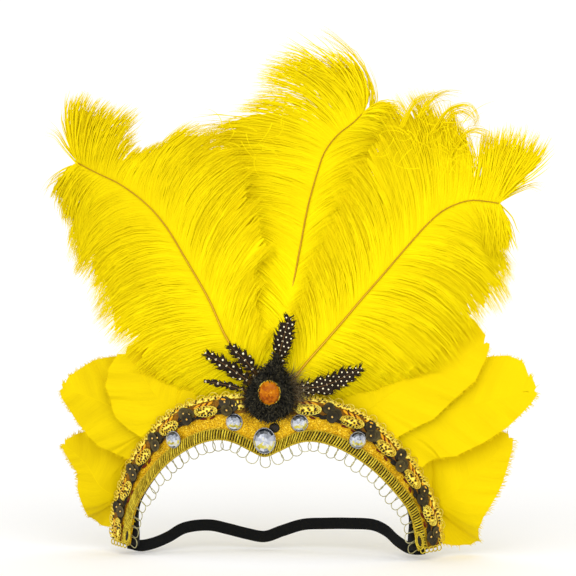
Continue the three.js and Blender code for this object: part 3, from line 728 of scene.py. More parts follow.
@dataclass(frozen=True)
class Plume:
    """An ostrich plume: a bare shaft with soft barbs on both sides, gathered in locks.

    A row of left or right is a share of the shaft's length, the length of the barbs there, the angle
    to the shaft at which they leave it and the angle at which they end. rear is the share of the barbs
    that lie behind the soft strips, rear_depth how far back they end, buried the share of the shaft that
    the barbs cover, tone the barbs' mean tone and pale how much painted fill light raises it towards the
    base, against the shade where the plumes lie over each other. crowd is the power by which barbs crowd
    towards the tip, loose_from the share from which they lie loose and ripple how far they wave. A row of
    tangles is the middle of a patch where loose hairs cross the barbs, how far it spreads and how many
    hairs it has.
    """

    node: str
    shaft: Points
    left: tuple[BarbRow, ...]
    right: tuple[BarbRow, ...]
    strays: tuple[Points, ...]
    seed: int
    barbs: int = 1750
    rear: float = 0.3
    buried: float = 0.0
    pale: float = 0.0
    tone: float = 0.6
    tangles: tuple[tuple[Point, float, int], ...] = ()
    locks: int = 38
    steps: int = 7
    strips: int = 64
    half_width: float = 0.38
    droop: float = 4.0
    shaft_base: float = 1.0
    shaft_tip: float = 0.28
    shaft_steps: int = 48
    crowd: float = 1.6
    loose_from: float = 0.88
    ripple: float = 1.3
    rear_depth: float = 3.4
    strip_end: float = 0.86
    strip_half: float = 4.6
    wisp_hairs: int = 14

    def run(self, rows: Array, side: Side, at: Array, stretch: Array, turn: Array, lift: Array) -> Array:
        """The middle lines of barbs.

        A barb turns evenly from one angle to another, so its point at share s is its root plus length
        x the integral of cos(angle) along the shaft and sin(angle) to the side; lift x sin(pi s) less
        droop x s squared then brings it forward.

        Args:
            rows: The side's table.
            side: The side of the shaft.
            at: Shares of the shaft's length at the roots.
            stretch: Factors on the table's lengths.
            turn: Degrees added to the table's end angles.
            lift: How far forward the middle of each barb stands.

        Returns:
            Points by barb and step.
        """
        length, leave, end = (np.interp(at, rows[:, 0], rows[:, i])[:, None] for i in (1, 2, 3))
        start = np.radians(leave + 0.3 * turn[:, None])
        swing = np.radians(end + turn[:, None]) - start
        swing = np.where(np.abs(swing) < 0.02, 0.02, swing)
        share = np.linspace(0, 1, self.steps)
        ahead = (np.sin(start + swing * share) - np.sin(start)) / swing
        aside = (np.cos(start) - np.cos(start + swing * share)) / swing
        root, along, facing, across = (part[:, None] for part in Curve(self.shaft).frames(at))
        reach = (length * stretch[:, None])[..., None]
        flat = root + reach * (along * ahead[..., None] + side.value * across * aside[..., None])
        depth = lift[:, None] * np.sin(np.pi * share) - self.droop * share**2
        return flat + facing * depth[..., None]

    @staticmethod
    def behind(paths: Array) -> Array:
        """Paths brought behind the round band where they hang low: back by low x X^2 / BROW_ROUND."""
        low = np.clip((LOW_FROM - paths[..., 2]) / LOW_SPAN, 0, 1)
        back = ease(low) * paths[..., 0] ** 2 / BROW_ROUND
        return paths + back[..., None] * -FRONT

    def painted_fill(self, at: Array) -> Array:
        """Painted fill light that lifts strands against the shade where the plumes overlap: most at the base,
        none near the tip.
        """
        return self.pale * np.clip(1.6 - 2 * at, 0, 1)

    def barb_skin(self, side: Side, rng: Rng) -> Skin:
        """The barbs of one side, with broad soft strips under them.

        Args:
            side: The side of the shaft.
            rng: Random source.

        Returns:
            One skin with all the strands.
        """
        rows = np.array(self.left if side is Side.LEFT else self.right)
        first = rows[0, 0]
        even = (np.arange(self.barbs) + rng.random(self.barbs)) / self.barbs
        spread = 1 - (1 - even) ** self.crowd
        lock = spread * self.locks + rng.normal(0, 0.35, self.barbs)
        lock = lock.clip(0, self.locks - 0.01).astype(int)
        lead_at = first + (1 - first) * (np.arange(self.locks) + 0.5) / self.locks
        lead_stretch = rng.uniform(0.92, 1.04, self.locks)
        lead_turn = rng.normal(0, 4, self.locks)
        lead_lift = rng.normal(0, 0.4, self.locks)
        lead = self.run(rows, side, lead_at, lead_stretch, lead_turn, lead_lift)
        at = first + (1 - first) * spread
        loose = np.clip((at - self.loose_from) / (1 - self.loose_from), 0, 1)
        stretch = lead_stretch[lock] * rng.uniform(0.84 - 0.24 * loose, 1.04)
        turn = lead_turn[lock] + rng.normal(0, 4.5 + 12 * loose)
        lift = lead_lift[lock] + rng.normal(0, 0.35 + 1.8 * loose)
        own = self.run(rows, side, at, stretch, turn, lift)
        share = np.linspace(0, 1, self.steps)
        gather = rng.uniform(0.15, 0.6, self.locks)[lock] * (1 - 0.6 * loose)
        pull = gather[:, None] * share**1.6
        paths = own + pull[..., None] * (lead[lock] - own)
        phase = rng.random(self.locks)[lock] + rng.normal(0, 0.12, self.barbs)
        ripple = np.sin(2 * np.pi * (1.2 * share + phase[:, None])) * share**1.5 * self.ripple
        way = unit(np.gradient(paths, axis=1))
        rear = (rng.random(self.barbs) < self.rear)[:, None] * self.rear_depth * np.sqrt(share)
        paths = paths + np.cross(way, FRONT) * ripple[..., None] - FRONT * rear[..., None]
        tilt = rng.normal(0, 0.2, self.barbs)[:, None, None]
        facing = FRONT + tilt * np.cross(way, FRONT)
        taper = (1 - 0.45 * share) * np.sqrt(np.clip(1.02 - share**4, 0, 1))
        tone = self.tone + 0.06 * rng.normal(size=self.locks)[lock] + rng.normal(0, 0.1, self.barbs)
        # Painted fill light raises the tone towards the base, against the shade where the plumes overlap.
        tone = (tone + self.painted_fill(at))[:, None]
        thickness = (1 + 0.5 * loose) * rng.uniform(0.7, 1.25, self.barbs)
        wide = self.half_width * thickness[:, None] * taper
        barbs = sweep(self.behind(paths), facing, wide, 0.2 * wide, Section.BLADE, tone)
        return Skin.join([barbs, self.strip_skin(rows, side, rng)])

    def strip_skin(self, rows: Array, side: Side, rng: Rng) -> Skin:
        """Broad soft strips behind one side's barbs, a little shorter than they are.

        Args:
            rows: The side's table.
            side: The side of the shaft.
            rng: Random source.

        Returns:
            One skin with all the strips.
        """
        at = np.linspace(rows[0, 0], self.strip_end, self.strips)
        short = rng.uniform(0.78, 0.9, self.strips)
        still = np.zeros(self.strips)
        paths = self.run(rows, side, at, short, still, still) - FRONT
        share = np.linspace(0, 1, self.steps)
        half = self.strip_half * np.sin(np.pi * np.clip(0.12 + 0.86 * share, 0, 1)) ** 0.7
        # The strips get the same painted fill light towards the base.
        tone = rng.uniform(0.45, 0.65, self.strips) + self.painted_fill(at)
        return sweep(self.behind(paths), FRONT, half, 0.3, Section.RIBBON, tone[:, None])

    def shaft_skin(self) -> Skin:
        """The shaft: a flattened rod that tapers to the tip, paler along its front."""
        share = np.linspace(0, 1, self.shaft_steps)
        points, _, facing, _ = Curve(self.shaft).frames(share)
        radius = self.shaft_base + (self.shaft_tip - self.shaft_base) * share**0.8
        before = 1.0 - 2.6 * np.clip((self.buried - share) / 0.15, 0, 1)
        path = (points + facing * before[:, None])[None]
        skin = sweep(path, facing[None], radius, 0.8 * radius, Section.ROD)
        front = np.array(Section.ROD.value)[:, 1]
        ring_tone = np.where(front > 0.7, 0.95, 0.2)
        skin.tone = np.outer(1 - 0.6 * share, ring_tone).ravel()
        return skin

    def stray_skin(self, rng: Rng) -> Skin:
        """Stray wisps that stand off the outline, each a few hairs along one curve.

        Args:
            rng: Random source.

        Returns:
            One skin with the hairs.
        """
        share = np.linspace(0, 1, 16)
        fan = 1 + 2.2 * share[:, None] ** 2
        shape = (self.wisp_hairs, 1, 3)
        wisps = [Curve(points).at(share) + rng.normal(0, 1, shape) * fan for points in self.strays]
        return sweep(np.concatenate(wisps), FRONT, 0.28 * (1.05 - share), 0.1, Section.BLADE, 0.6)

    def tangle_skin(self, rng: Rng) -> list[Skin]:
        """Loose hairs over the barbs, each turning evenly from one heading to another.

        A hair's point at share s is its start plus length x the integral of cos(heading) to the right
        and sin(heading) up.

        Args:
            rng: Random source.

        Returns:
            A skin for each patch.
        """
        skins = []
        share = np.linspace(0, 1, 9)
        for middle, spread, hairs in self.tangles:
            start = np.array(middle) + rng.normal(0, spread, (hairs, 1, 3)) * [1, 0.06, 0.7]
            first = rng.uniform(0, 2 * np.pi, (hairs, 1))
            swing = rng.uniform(0.5, 2.2, (hairs, 1)) * rng.choice([-1, 1], (hairs, 1))
            heading = first + swing * share
            aside = (np.sin(heading) - np.sin(first)) / swing
            rise = (np.cos(first) - np.cos(heading)) / swing
            length = spread * rng.uniform(1.0, 2.2, (hairs, 1, 1))
            paths = start + length * np.stack([aside, 0 * aside, rise], -1)
            tone = rng.uniform(0.5, 1.0, (hairs, 1))
            skins.append(sweep(paths, FRONT, 0.3 * (1.05 - share), 0.1, Section.BLADE, tone))
        return skins

    def build(self) -> None:
        """Makes the barbs of both sides and the shaft."""
        rng = np.random.default_rng(self.seed)
        left = self.barb_skin(Side.LEFT, rng)
        add_piece(f"{self.node}_left_barbs", left, YELLOW_BARB, Slot.YELLOW, [self.node], smooth=False)
        right = Skin.join([self.barb_skin(Side.RIGHT, rng), self.stray_skin(rng), *self.tangle_skin(rng)])
        add_piece(f"{self.node}_right_barbs", right, YELLOW_BARB, Slot.YELLOW, smooth=False)
        add_piece(f"{self.node}_shaft", self.shaft_skin(), QUILL, Slot.YELLOW)


@dataclass(frozen=True)
class Vane:
    """A feather with a closed vane: a thin sheet of barbs on each side of the shaft.

    A row of widths is a share of the vane's length and the sheet's width to the left and to the right.
    A row of notches is a side, the share at which its barbs part, and how deep the gap is. tuck is how far
    the left and the right sheet run back along the bare quill, as shares of the vane's length. seat is
    the direction that the sheet faces at its base; it turns to the front by turn_end of its length. bend
    is how far along and aside of its root a barb bends, patches how many waves and tones a sheet has, and
    loose_at and loose_half the steps at which a loose end leaves the sheet and its half widths.
    """

    shaft: Points
    bare: float
    widths: Points
    camber: float
    fringe: float
    forward: float = 0.75
    tuck: Span = (0.0, 0.0)
    seat: Point = (0.0, -1.0, 0.0)
    round_from: float = 0.62
    barbs: int = 84
    strands: int = 320
    tone: Span = (0.45, 0.75)
    notches: tuple[tuple[Side, float, float], ...] = ()
    gap: float = 0.012
    dots: float = 0.0
    wave: float = 1.4
    half_thickness: float = 0.25
    turn_end: float = 0.4
    bend: Span = (0.42, 0.56)
    patches: int = 22
    loose_at: Point = (0.72, 0.88, 0.97)
    loose_half: tuple[float, ...] = (0.04, 0.2, 0.22, 0.17, 0.05)

    def spread(self, share: Array, side: Side) -> Array:
        """The sheet's width: the table's, brought in by a quarter ellipse at the tip and by the notches."""
        rows = np.array(self.widths)
        wide = np.interp(share, rows[:, 0], rows[:, 1 if side is Side.LEFT else 2])
        past = np.clip((share - self.round_from) / (1.01 - self.round_from), 0, 1)
        wide = wide * np.sqrt(1 - past**2)
        for where, at, depth in self.notches:
            if where is side:
                wide = wide * (1 - depth * np.exp(-(((share - at) / self.gap) ** 2)))
        return wide

    def barb_lines(self, side: Side, tip: Array, share: Array, ripple: Array) -> tuple[Array, Array, Array]:
        """The middle lines of barbs, with the directions that they face and their places on the flat vane.

        A barb is the arc (1 - s)^2 root + 2 s (1 - s) bend + s^2 tip, with its root on the shaft, its tip
        on the outline and its bend between them. At the base it stands square to the shaft, and from a
        third of the length on it leans forward; the sheet falls back by camber x a^2 / (a + 12) at a
        distance a from the shaft.

        Args:
            side: The side of the shaft.
            tip: Shares of the vane's length at the barbs' tips.
            share: Steps along a barb.
            ripple: How far forward each barb's end stands.

        Returns:
            Points by barb and step, facing directions, and millimetres across and along the vane.
        """
        curve = Curve(self.shaft)
        long = curve.length()
        first = self.bare / long
        spread = self.spread(tip, side)
        lean = self.forward * np.clip(tip / 0.34, 0, 1) ** 1.3
        root = np.clip(tip - lean * spread / (long * (1 - first)), np.minimum(tip, 0), 0.985)
        bend = root + self.bend[0] * (tip - root)
        weights = np.stack([(1 - share) ** 2, 2 * share * (1 - share), share**2])
        shaft_share = np.stack([root, bend, tip], -1) @ weights
        aside = np.stack([0 * spread, self.bend[1] * spread, spread], -1) @ weights
        points, along, facing, _ = curve.frames(first + (1 - first) * shaft_share.ravel())
        held = np.clip(1 - tip / self.turn_end, 0, 1)[:, None, None]
        shape = (*shaft_share.shape, 3)
        points, along, facing = (part.reshape(shape) for part in (points, along, facing))
        facing = facing + ease(held) * (np.array(self.seat) - facing)
        facing = unit(facing - along * np.sum(along * facing, -1, keepdims=True))
        across = np.cross(along, facing)
        depth = ripple[:, None] * share**1.2 - self.camber * aside**2 / (aside + 12)
        lines = points + side.value * across * aside[..., None] + facing * depth[..., None]
        return lines, facing, np.stack([side.value * aside, long * shaft_share], -1)

    def sheet_skin(self, side: Side, rng: Rng) -> Skin:
        """One side's sheet with a fringe of loose barb ends along its outline.

        Args:
            side: The side of the shaft.
            rng: Random source.

        Returns:
            One skin with the sheet and the loose ends.
        """
        tuck = self.tuck[0 if side is Side.LEFT else 1]
        tip = (1 + tuck) * (1 - (1 - np.linspace(0.001, 0.999, self.barbs)) ** 1.4) - tuck
        patch = np.linspace(0, 1, self.patches)
        ripple = np.interp(tip, patch, rng.normal(0, self.wave, self.patches)) * np.clip(tip / 0.3, 0, 1)
        share = np.linspace(0, 1, 9)
        lines, facing, flat = self.barb_lines(side, tip, share, ripple)
        thick = facing * self.half_thickness
        rings = np.concatenate([lines + thick, (lines - thick)[:, ::-1]], 1)[None]
        along = distances(lines, 1)
        run = distances(lines[:, -1])
        cloth = flat / self.dots if self.dots > 0 else np.stack([run[:, None] + 0 * along, along], -1)
        uv = np.concatenate([cloth, cloth[:, ::-1]], 1)[None]
        tone = np.interp(tip, patch, rng.uniform(*self.tone, self.patches))[None, :, None]
        sheet = loft(rings, uv, tone)
        loose = (1 + tuck) * rng.random(self.strands) ** 0.8 - tuck
        lift = np.interp(loose, tip, ripple)
        ends, faces, _ = self.barb_lines(side, loose, np.array(self.loose_at), lift)
        way = unit(ends[:, 2] - ends[:, 1])
        each = (self.strands, 1)
        long = rng.uniform(0.1, 1.0, each) ** 1.3 * self.fringe
        curl = np.cross(way, faces[:, 2]) * rng.normal(0, 0.3, each)
        extra = [ends[:, 2] + way * long * k + curl * long * k**2 for k in (0.5, 1.0)]
        paths = np.concatenate([ends, np.stack(extra, 1)], 1) + faces[:, :1] * 0.12
        wide = np.array(self.loose_half) * rng.uniform(0.6, 1.2, each)
        plain = np.full((*wide.shape, 2), 0.02) if self.dots > 0 else None
        tones = rng.uniform(*self.tone, each)
        fringe = sweep(paths, faces[:, :1], wide, 0.5 * wide, Section.BLADE, tones, plain)
        return Skin.join([sheet, fringe])

    def shaft_skin(self, base: float, tip: float) -> Skin:
        """The shaft: a rod that tapers from base to tip."""
        share = np.linspace(0, 1, 28)
        points, _, facing, _ = Curve(self.shaft).frames(share)
        radius = base + (tip - base) * share
        path = (points + 0.2 * facing)[None]
        return sweep(path, facing[None], radius, 0.7 * radius, Section.CORD, 0.7)

    def skin(self, seed: int) -> Skin:
        """The sheets of both sides."""
        rng = np.random.default_rng(seed)
        return Skin.join([self.sheet_skin(side, rng) for side in Side])


PLUMES = (
    Plume(
        node="plume_left",
        shaft=(
            (-1, -2.4, 0.5), (-5, -2.3, 19.5), (-11, -1, 35), (-21, 1, 50), (-31, 3, 66), (-42, 6, 89),
            (-60.5, 10, 119.5), (-74.5, 12, 141.5), (-88.5, 13, 157), (-108, 12, 171.5), (-124, 9, 179.5),
            (-137.5, 5, 187),
        ),
        left=(
            (0.08, 46, 82, 112), (0.18, 66, 72, 106), (0.305, 80, 58, 106), (0.412, 88, 50, 112),
            (0.561, 86, 44, 120), (0.67, 84, 42, 126), (0.757, 76, 38, 124), (0.858, 62, 42, 124),
            (0.934, 50, 54, 128), (1, 34, 62, 130),
        ),
        right=(
            (0.08, 26, 30, 46), (0.18, 46, 32, 58), (0.305, 70, 34, 70), (0.412, 82, 34, 80),
            (0.561, 86, 33, 92), (0.67, 92, 34, 104), (0.757, 70, 44, 112), (0.83, 46, 72, 126),
            (0.875, 30, 84, 118), (0.91, 54, 70, 112), (1, 52, 40, 78),
        ),
        strays=(
            ((-137, 5, 187), (-146, 3, 198), (-152, 2, 207), (-158, 2, 210)),
            ((-134, 6, 184), (-146, 4, 183), (-155, 3, 176), (-160, 2, 165)),
        ),
        seed=11,
        # Painted fill light at the base against the shade of the centre plume, and a lower tone as painted
        # shade: the left plume darker, as if the light fell from the right.
        pale=0.35,
        tone=0.32,
        droop=8.0,
    ),
    Plume(
        node="plume_centre",
        shaft=(
            (4.5, -2.3, 0.5), (7, -2.2, 19.5), (8.5, 1, 38), (11, 8, 60.5), (13, 15, 81), (17.5, 22, 104),
            (22, 28, 131), (26, 32, 154.5), (32.5, 34, 179), (38, 34, 194.5), (47.5, 33, 207),
            (58.5, 30, 215.5), (66.5, 27, 223),
        ),
        left=(
            (0.12, 30, 40, 62), (0.22, 44, 42, 66), (0.343, 58, 44, 74), (0.444, 70, 46, 84),
            (0.559, 82, 60, 112), (0.658, 96, 74, 132), (0.763, 110, 84, 128), (0.83, 104, 95, 134),
            (0.88, 78, 86, 146), (0.93, 88, 76, 143), (0.97, 78, 54, 138), (1, 58, 18, 122),
        ),
        right=(
            (0.12, 30, 38, 56), (0.22, 42, 38, 60), (0.343, 54, 36, 64), (0.444, 62, 35, 68),
            (0.559, 64, 33, 68), (0.658, 62, 32, 68), (0.763, 58, 30, 70), (0.83, 54, 28, 74),
            (0.895, 48, 24, 84), (0.953, 40, 16, 88), (1, 32, 6, 84),
        ),
        strays=(
            ((72, 27, 221), (72, 26, 243), (60, 26, 264), (44, 26, 278), (35, 26, 283)),
            ((72, 27, 220), (75, 26, 234), (72, 26, 246), (64, 26, 258)),
        ),
        seed=12,
        tangles=(((-6, 22, 204), 14, 22),),
        buried=0.5,
        # Painted fill light at the base, against the shade where the left plume lies over the centre plume.
        pale=0.45,
    ),
    Plume(
        node="plume_right",
        shaft=(
            (10.5, -2, 0.5), (13.5, -1.8, 19.5), (23.5, -0.5, 37.5), (44, 2, 62), (56, 4, 76), (68, 6, 90.5),
            (86, 10, 111.5), (99.5, 12, 127.5), (116, 13, 146), (126, 13, 154.5), (137, 12, 160),
            (147, 10, 162.5), (159, 6, 162), (167.5, 3, 161),
        ),
        left=(
            (0.09, 30, 34, 50), (0.2, 48, 36, 60), (0.299, 62, 38, 68), (0.454, 78, 38, 76),
            (0.57, 86, 37, 78), (0.658, 92, 36, 78), (0.761, 96, 38, 80), (0.815, 88, 44, 86),
            (0.866, 66, 54, 92), (0.91, 50, 68, 92), (0.962, 56, 74, 88), (1, 60, 58, 72),
        ),
        right=(
            (0.09, 50, 82, 112), (0.2, 68, 70, 104), (0.299, 80, 60, 106), (0.454, 88, 50, 110),
            (0.57, 88, 46, 112), (0.658, 86, 44, 114), (0.761, 76, 43, 114), (0.815, 64, 44, 112),
            (0.91, 48, 54, 106), (1, 36, 62, 96),
        ),
        strays=(
            ((110, 12, 222), (118, 11, 234), (128, 10, 239), (138, 10, 237)),
            ((168, 3, 163), (180, 2, 170), (190, 2, 174), (196, 2, 172)),
            ((126, 12, 216), (136, 11, 226), (146, 10, 222), (150, 10, 212)),
            ((118, 12, 210), (132, 11, 228), (146, 10, 230), (152, 10, 220), (147, 10, 214)),
            ((132, 12, 196), (146, 10, 212), (158, 9, 210), (160, 9, 200)),
            ((96, 13, 214), (106, 12, 232), (120, 11, 237), (130, 10, 231)),
        ),
        seed=13,
        tangles=(((128, 9, 204), 15, 50), ((104, 10, 206), 12, 16)),
        droop=8.0,
    ),
)


@dataclass(frozen=True)
class SideFeather:
    """A broad smooth feather whose quill is held under the band's upper edge.

    A row of widths is a share of the vane's length and its width above and below the shaft. A row of
    notches is whether it lies above the shaft, its share and its depth. tuck is how far the vane runs back
    along the held quill above and below, as shares of its length, and follow how much of the band's turn
    its base takes.
    """

    node: str
    under: Span
    leaves: Span
    free: Points
    widths: Points
    seed: int
    notches: tuple[tuple[bool, float, float], ...] = ()
    fringe: float = 3.4
    tuck: Span = (0.03, 0.06)
    follow: float = 0.5
    tone: Span = (0.45, 0.75)
    held_out: float = 2.25
    quill: Span = (0.32, 0.08)

    def build(self) -> None:
        """Makes the vane and the shaft, whose held part follows the band."""
        middle = tuple(0.5 * (a + b) for a, b in zip(self.under, self.leaves))
        held = BROW.bend(np.array([self.under, middle, self.leaves]), self.held_out)
        leftward = self.free[0][0] < 0
        upper, lower = (Side.RIGHT, Side.LEFT) if leftward else (Side.LEFT, Side.RIGHT)
        order = [0, 2, 1] if leftward else [0, 1, 2]
        seat = FRONT + self.follow * (BROW.outward(np.array(self.leaves)) - FRONT)
        feather = Vane(
            shaft=(*map(tuple, held.tolist()), *self.free),
            bare=float(np.linalg.norm(held[2] - held[0])) - 1.0,
            widths=tuple(map(tuple, np.array(self.widths)[:, order].tolist())),
            camber=0.1,
            fringe=self.fringe,
            tuck=self.tuck[::-1] if leftward else self.tuck,
            seat=tuple(seat.tolist()),
            round_from=0.985,
            gap=0.007,
            wave=0.7,
            tone=self.tone,
            notches=tuple((upper if above else lower, at, depth) for above, at, depth in self.notches),
        )
        skin = feather.skin(self.seed)
        add_piece(f"{self.node}_vane", skin, YELLOW_VANE, Slot.YELLOW, [self.node], smooth=False)
        add_piece(f"{self.node}_quill", feather.shaft_skin(*self.quill), YELLOW_VANE, Slot.YELLOW)


SIDE_FEATHERS = (
    SideFeather(
        node="side_feather_left_1",
        under=(-63, -8),
        leaves=(-72, 7),
        free=((-83, 18, 18.5), (-94.5, 20, 33.5), (-108, 22, 50)),
        widths=((-0.15, 16, 18), (0, 26, 30), (0.4, 30, 34), (0.8, 26, 26), (0.94, 17, 16), (1, 5, 5)),
        seed=21,
        # Painted shade: a lower tone makes the left feathers darker, as if the light fell from the right.
        tone=(0.25, 0.55),
    ),
    SideFeather(
        node="side_feather_left_2",
        under=(-84, -24),
        leaves=(-94, -12),
        free=((-102, 29, -2), (-124, 31, 11), (-156, 34, 21)),
        widths=(
            (-0.15, 18, 16), (0, 30, 26), (0.4, 36, 30), (0.58, 36, 27), (0.755, 27, 21), (0.887, 16, 12),
            (0.96, 9, 7), (1, 3, 2.5),
        ),
        seed=22,
        notches=((True, 0.972, 0.6),),
        # Painted shade: a lower tone makes this left feather darker, as if the light fell from the right.
        tone=(0.1, 0.4),
    ),
    SideFeather(
        node="side_feather_left_3",
        under=(-110, -77),
        leaves=(-129, -63),
        free=((-129, 46, -52), (-139, 47, -37), (-157, 48, -21)),
        widths=(
            (-0.22, 20, 6), (-0.13, 24, 12), (-0.05, 30, 21), (0.03, 31, 31), (0.15, 33, 28), (0.34, 33, 18),
            (0.51, 32, 12), (0.61, 30, 9.5), (0.8, 23, 7), (0.934, 13, 4), (1, 3, 1.5),
        ),
        seed=23,
        tuck=(0.0, 0.22),
        follow=0.75,
        # Painted shade: the lowest tone makes this left feather darkest, as if the light fell from the right.
        tone=(0.0, 0.3),
    ),
    SideFeather(
        node="side_feather_right_1",
        under=(63, -8),
        leaves=(72, 7),
        free=((85, 18.5, 20), (113, 21, 37), (158, 24, 60)),
        widths=(
            (-0.15, 16, 18), (0, 26, 28), (0.4, 32, 32), (0.8, 30, 21), (0.93, 25, 10), (0.98, 18, 5),
            (1, 6, 2),
        ),
        seed=24,
    ),
    SideFeather(
        node="side_feather_right_2",
        under=(84, -24),
        leaves=(94, -12),
        free=((107, 29.5, 3), (145, 31, 13), (192, 34, 24)),
        widths=(
            (-0.15, 16, 18), (0, 26, 30), (0.4, 33, 34), (0.6, 33, 28), (0.77, 31, 21), (0.87, 29, 14),
            (0.947, 23, 8), (0.985, 14, 4), (1, 3, 2),
        ),
        seed=25,
        notches=((True, 0.974, 0.75),),
    ),
    SideFeather(
        node="side_feather_right_3",
        under=(110, -77),
        leaves=(129, -63),
        free=((132, 46.5, -52), (149, 47.5, -36), (172, 48, -11)),
        widths=(
            (-0.27, 20, 15), (-0.15, 26, 22), (-0.05, 32, 32), (0.04, 34, 45), (0.12, 35, 44), (0.22, 35, 33),
            (0.32, 36, 27), (0.45, 35, 23.5), (0.59, 33, 20), (0.76, 28, 13.5), (0.93, 15, 6.5), (1, 3, 2),
        ),
        seed=26,
        fringe=5.0,
        tuck=(0.0, 0.27),
        follow=0.75,
    ),
)


@dataclass(frozen=True)
class Guinea:
    """A small dark feather with cream dots, fixed behind the rosette.

    parted is how deep the gaps between its barbs are, on the left and on the right of the shaft, and
    stagger how far the two sides' gaps are set apart. A row of taper is a share of the vane's length and
    its width there as a share of half.
    """

    node: str
    shaft: Points
    half: float
    dots: float
    seed: int
    parted: Span = (0.75, 0.7)
    gaps: int = 11
    stagger: float = 0.03
    taper: Spans = ((0, 0.6), (0.5, 1), (1, 0.7))
    quill: Span = (0.4, 0.15)

    def build(self) -> None:
        """Makes the vane and the shaft."""
        rng = np.random.default_rng(self.seed + 100)
        places = np.linspace(0.12, 0.96, self.gaps) + rng.normal(0, 0.025, self.gaps)
        notches = [
            (side, float(at), deep)
            for side, deep in zip(Side, self.parted)
            for at in places + self.stagger * side.value
        ]
        feather = Vane(
            shaft=self.shaft,
            bare=1.5,
            widths=tuple((at, share * self.half, share * self.half) for at, share in self.taper),
            camber=0.12,
            fringe=0.6 * self.half,
            forward=1.2,
            strands=260,
            notches=tuple(notches),
            gap=0.02,
            dots=self.dots,
            wave=0.5,
        )
        add_piece(f"{self.node}_vane", feather.skin(self.seed), SPOTTED_VANE, Slot.SPOTTED, [self.node])
        add_piece(f"{self.node}_quill", feather.shaft_skin(*self.quill), DARK_QUILL, Slot.SPOTTED)


GUINEAS = (
    Guinea("guinea_left_1", ((-6.5, -5.2, 28), (-23.5, -7.5, 40.5), (-43, -10, 52.5)), 5.4, 4.6, 31),
    Guinea("guinea_left_2", ((-4.5, -5.2, 34.5), (-13, -10, 47), (-25, -15, 59)), 5, 4.6, 32),
    Guinea("guinea_left_3", ((-9, -5.2, 23.5), (-25, -7, 28.5), (-44, -8, 32)), 2.6, 4.6, 33),
    Guinea("guinea_top", ((8, -5.2, 41.5), (12.5, -7, 59), (18.5, -9, 80)), 7, 3.6, 34, (0.92, 0.45)),
    Guinea("guinea_right", ((18, -5.2, 27.5), (42, -8, 29.5), (71, -10, 43.5)), 7, 3.6, 35, (0.92, 0.4)),
)


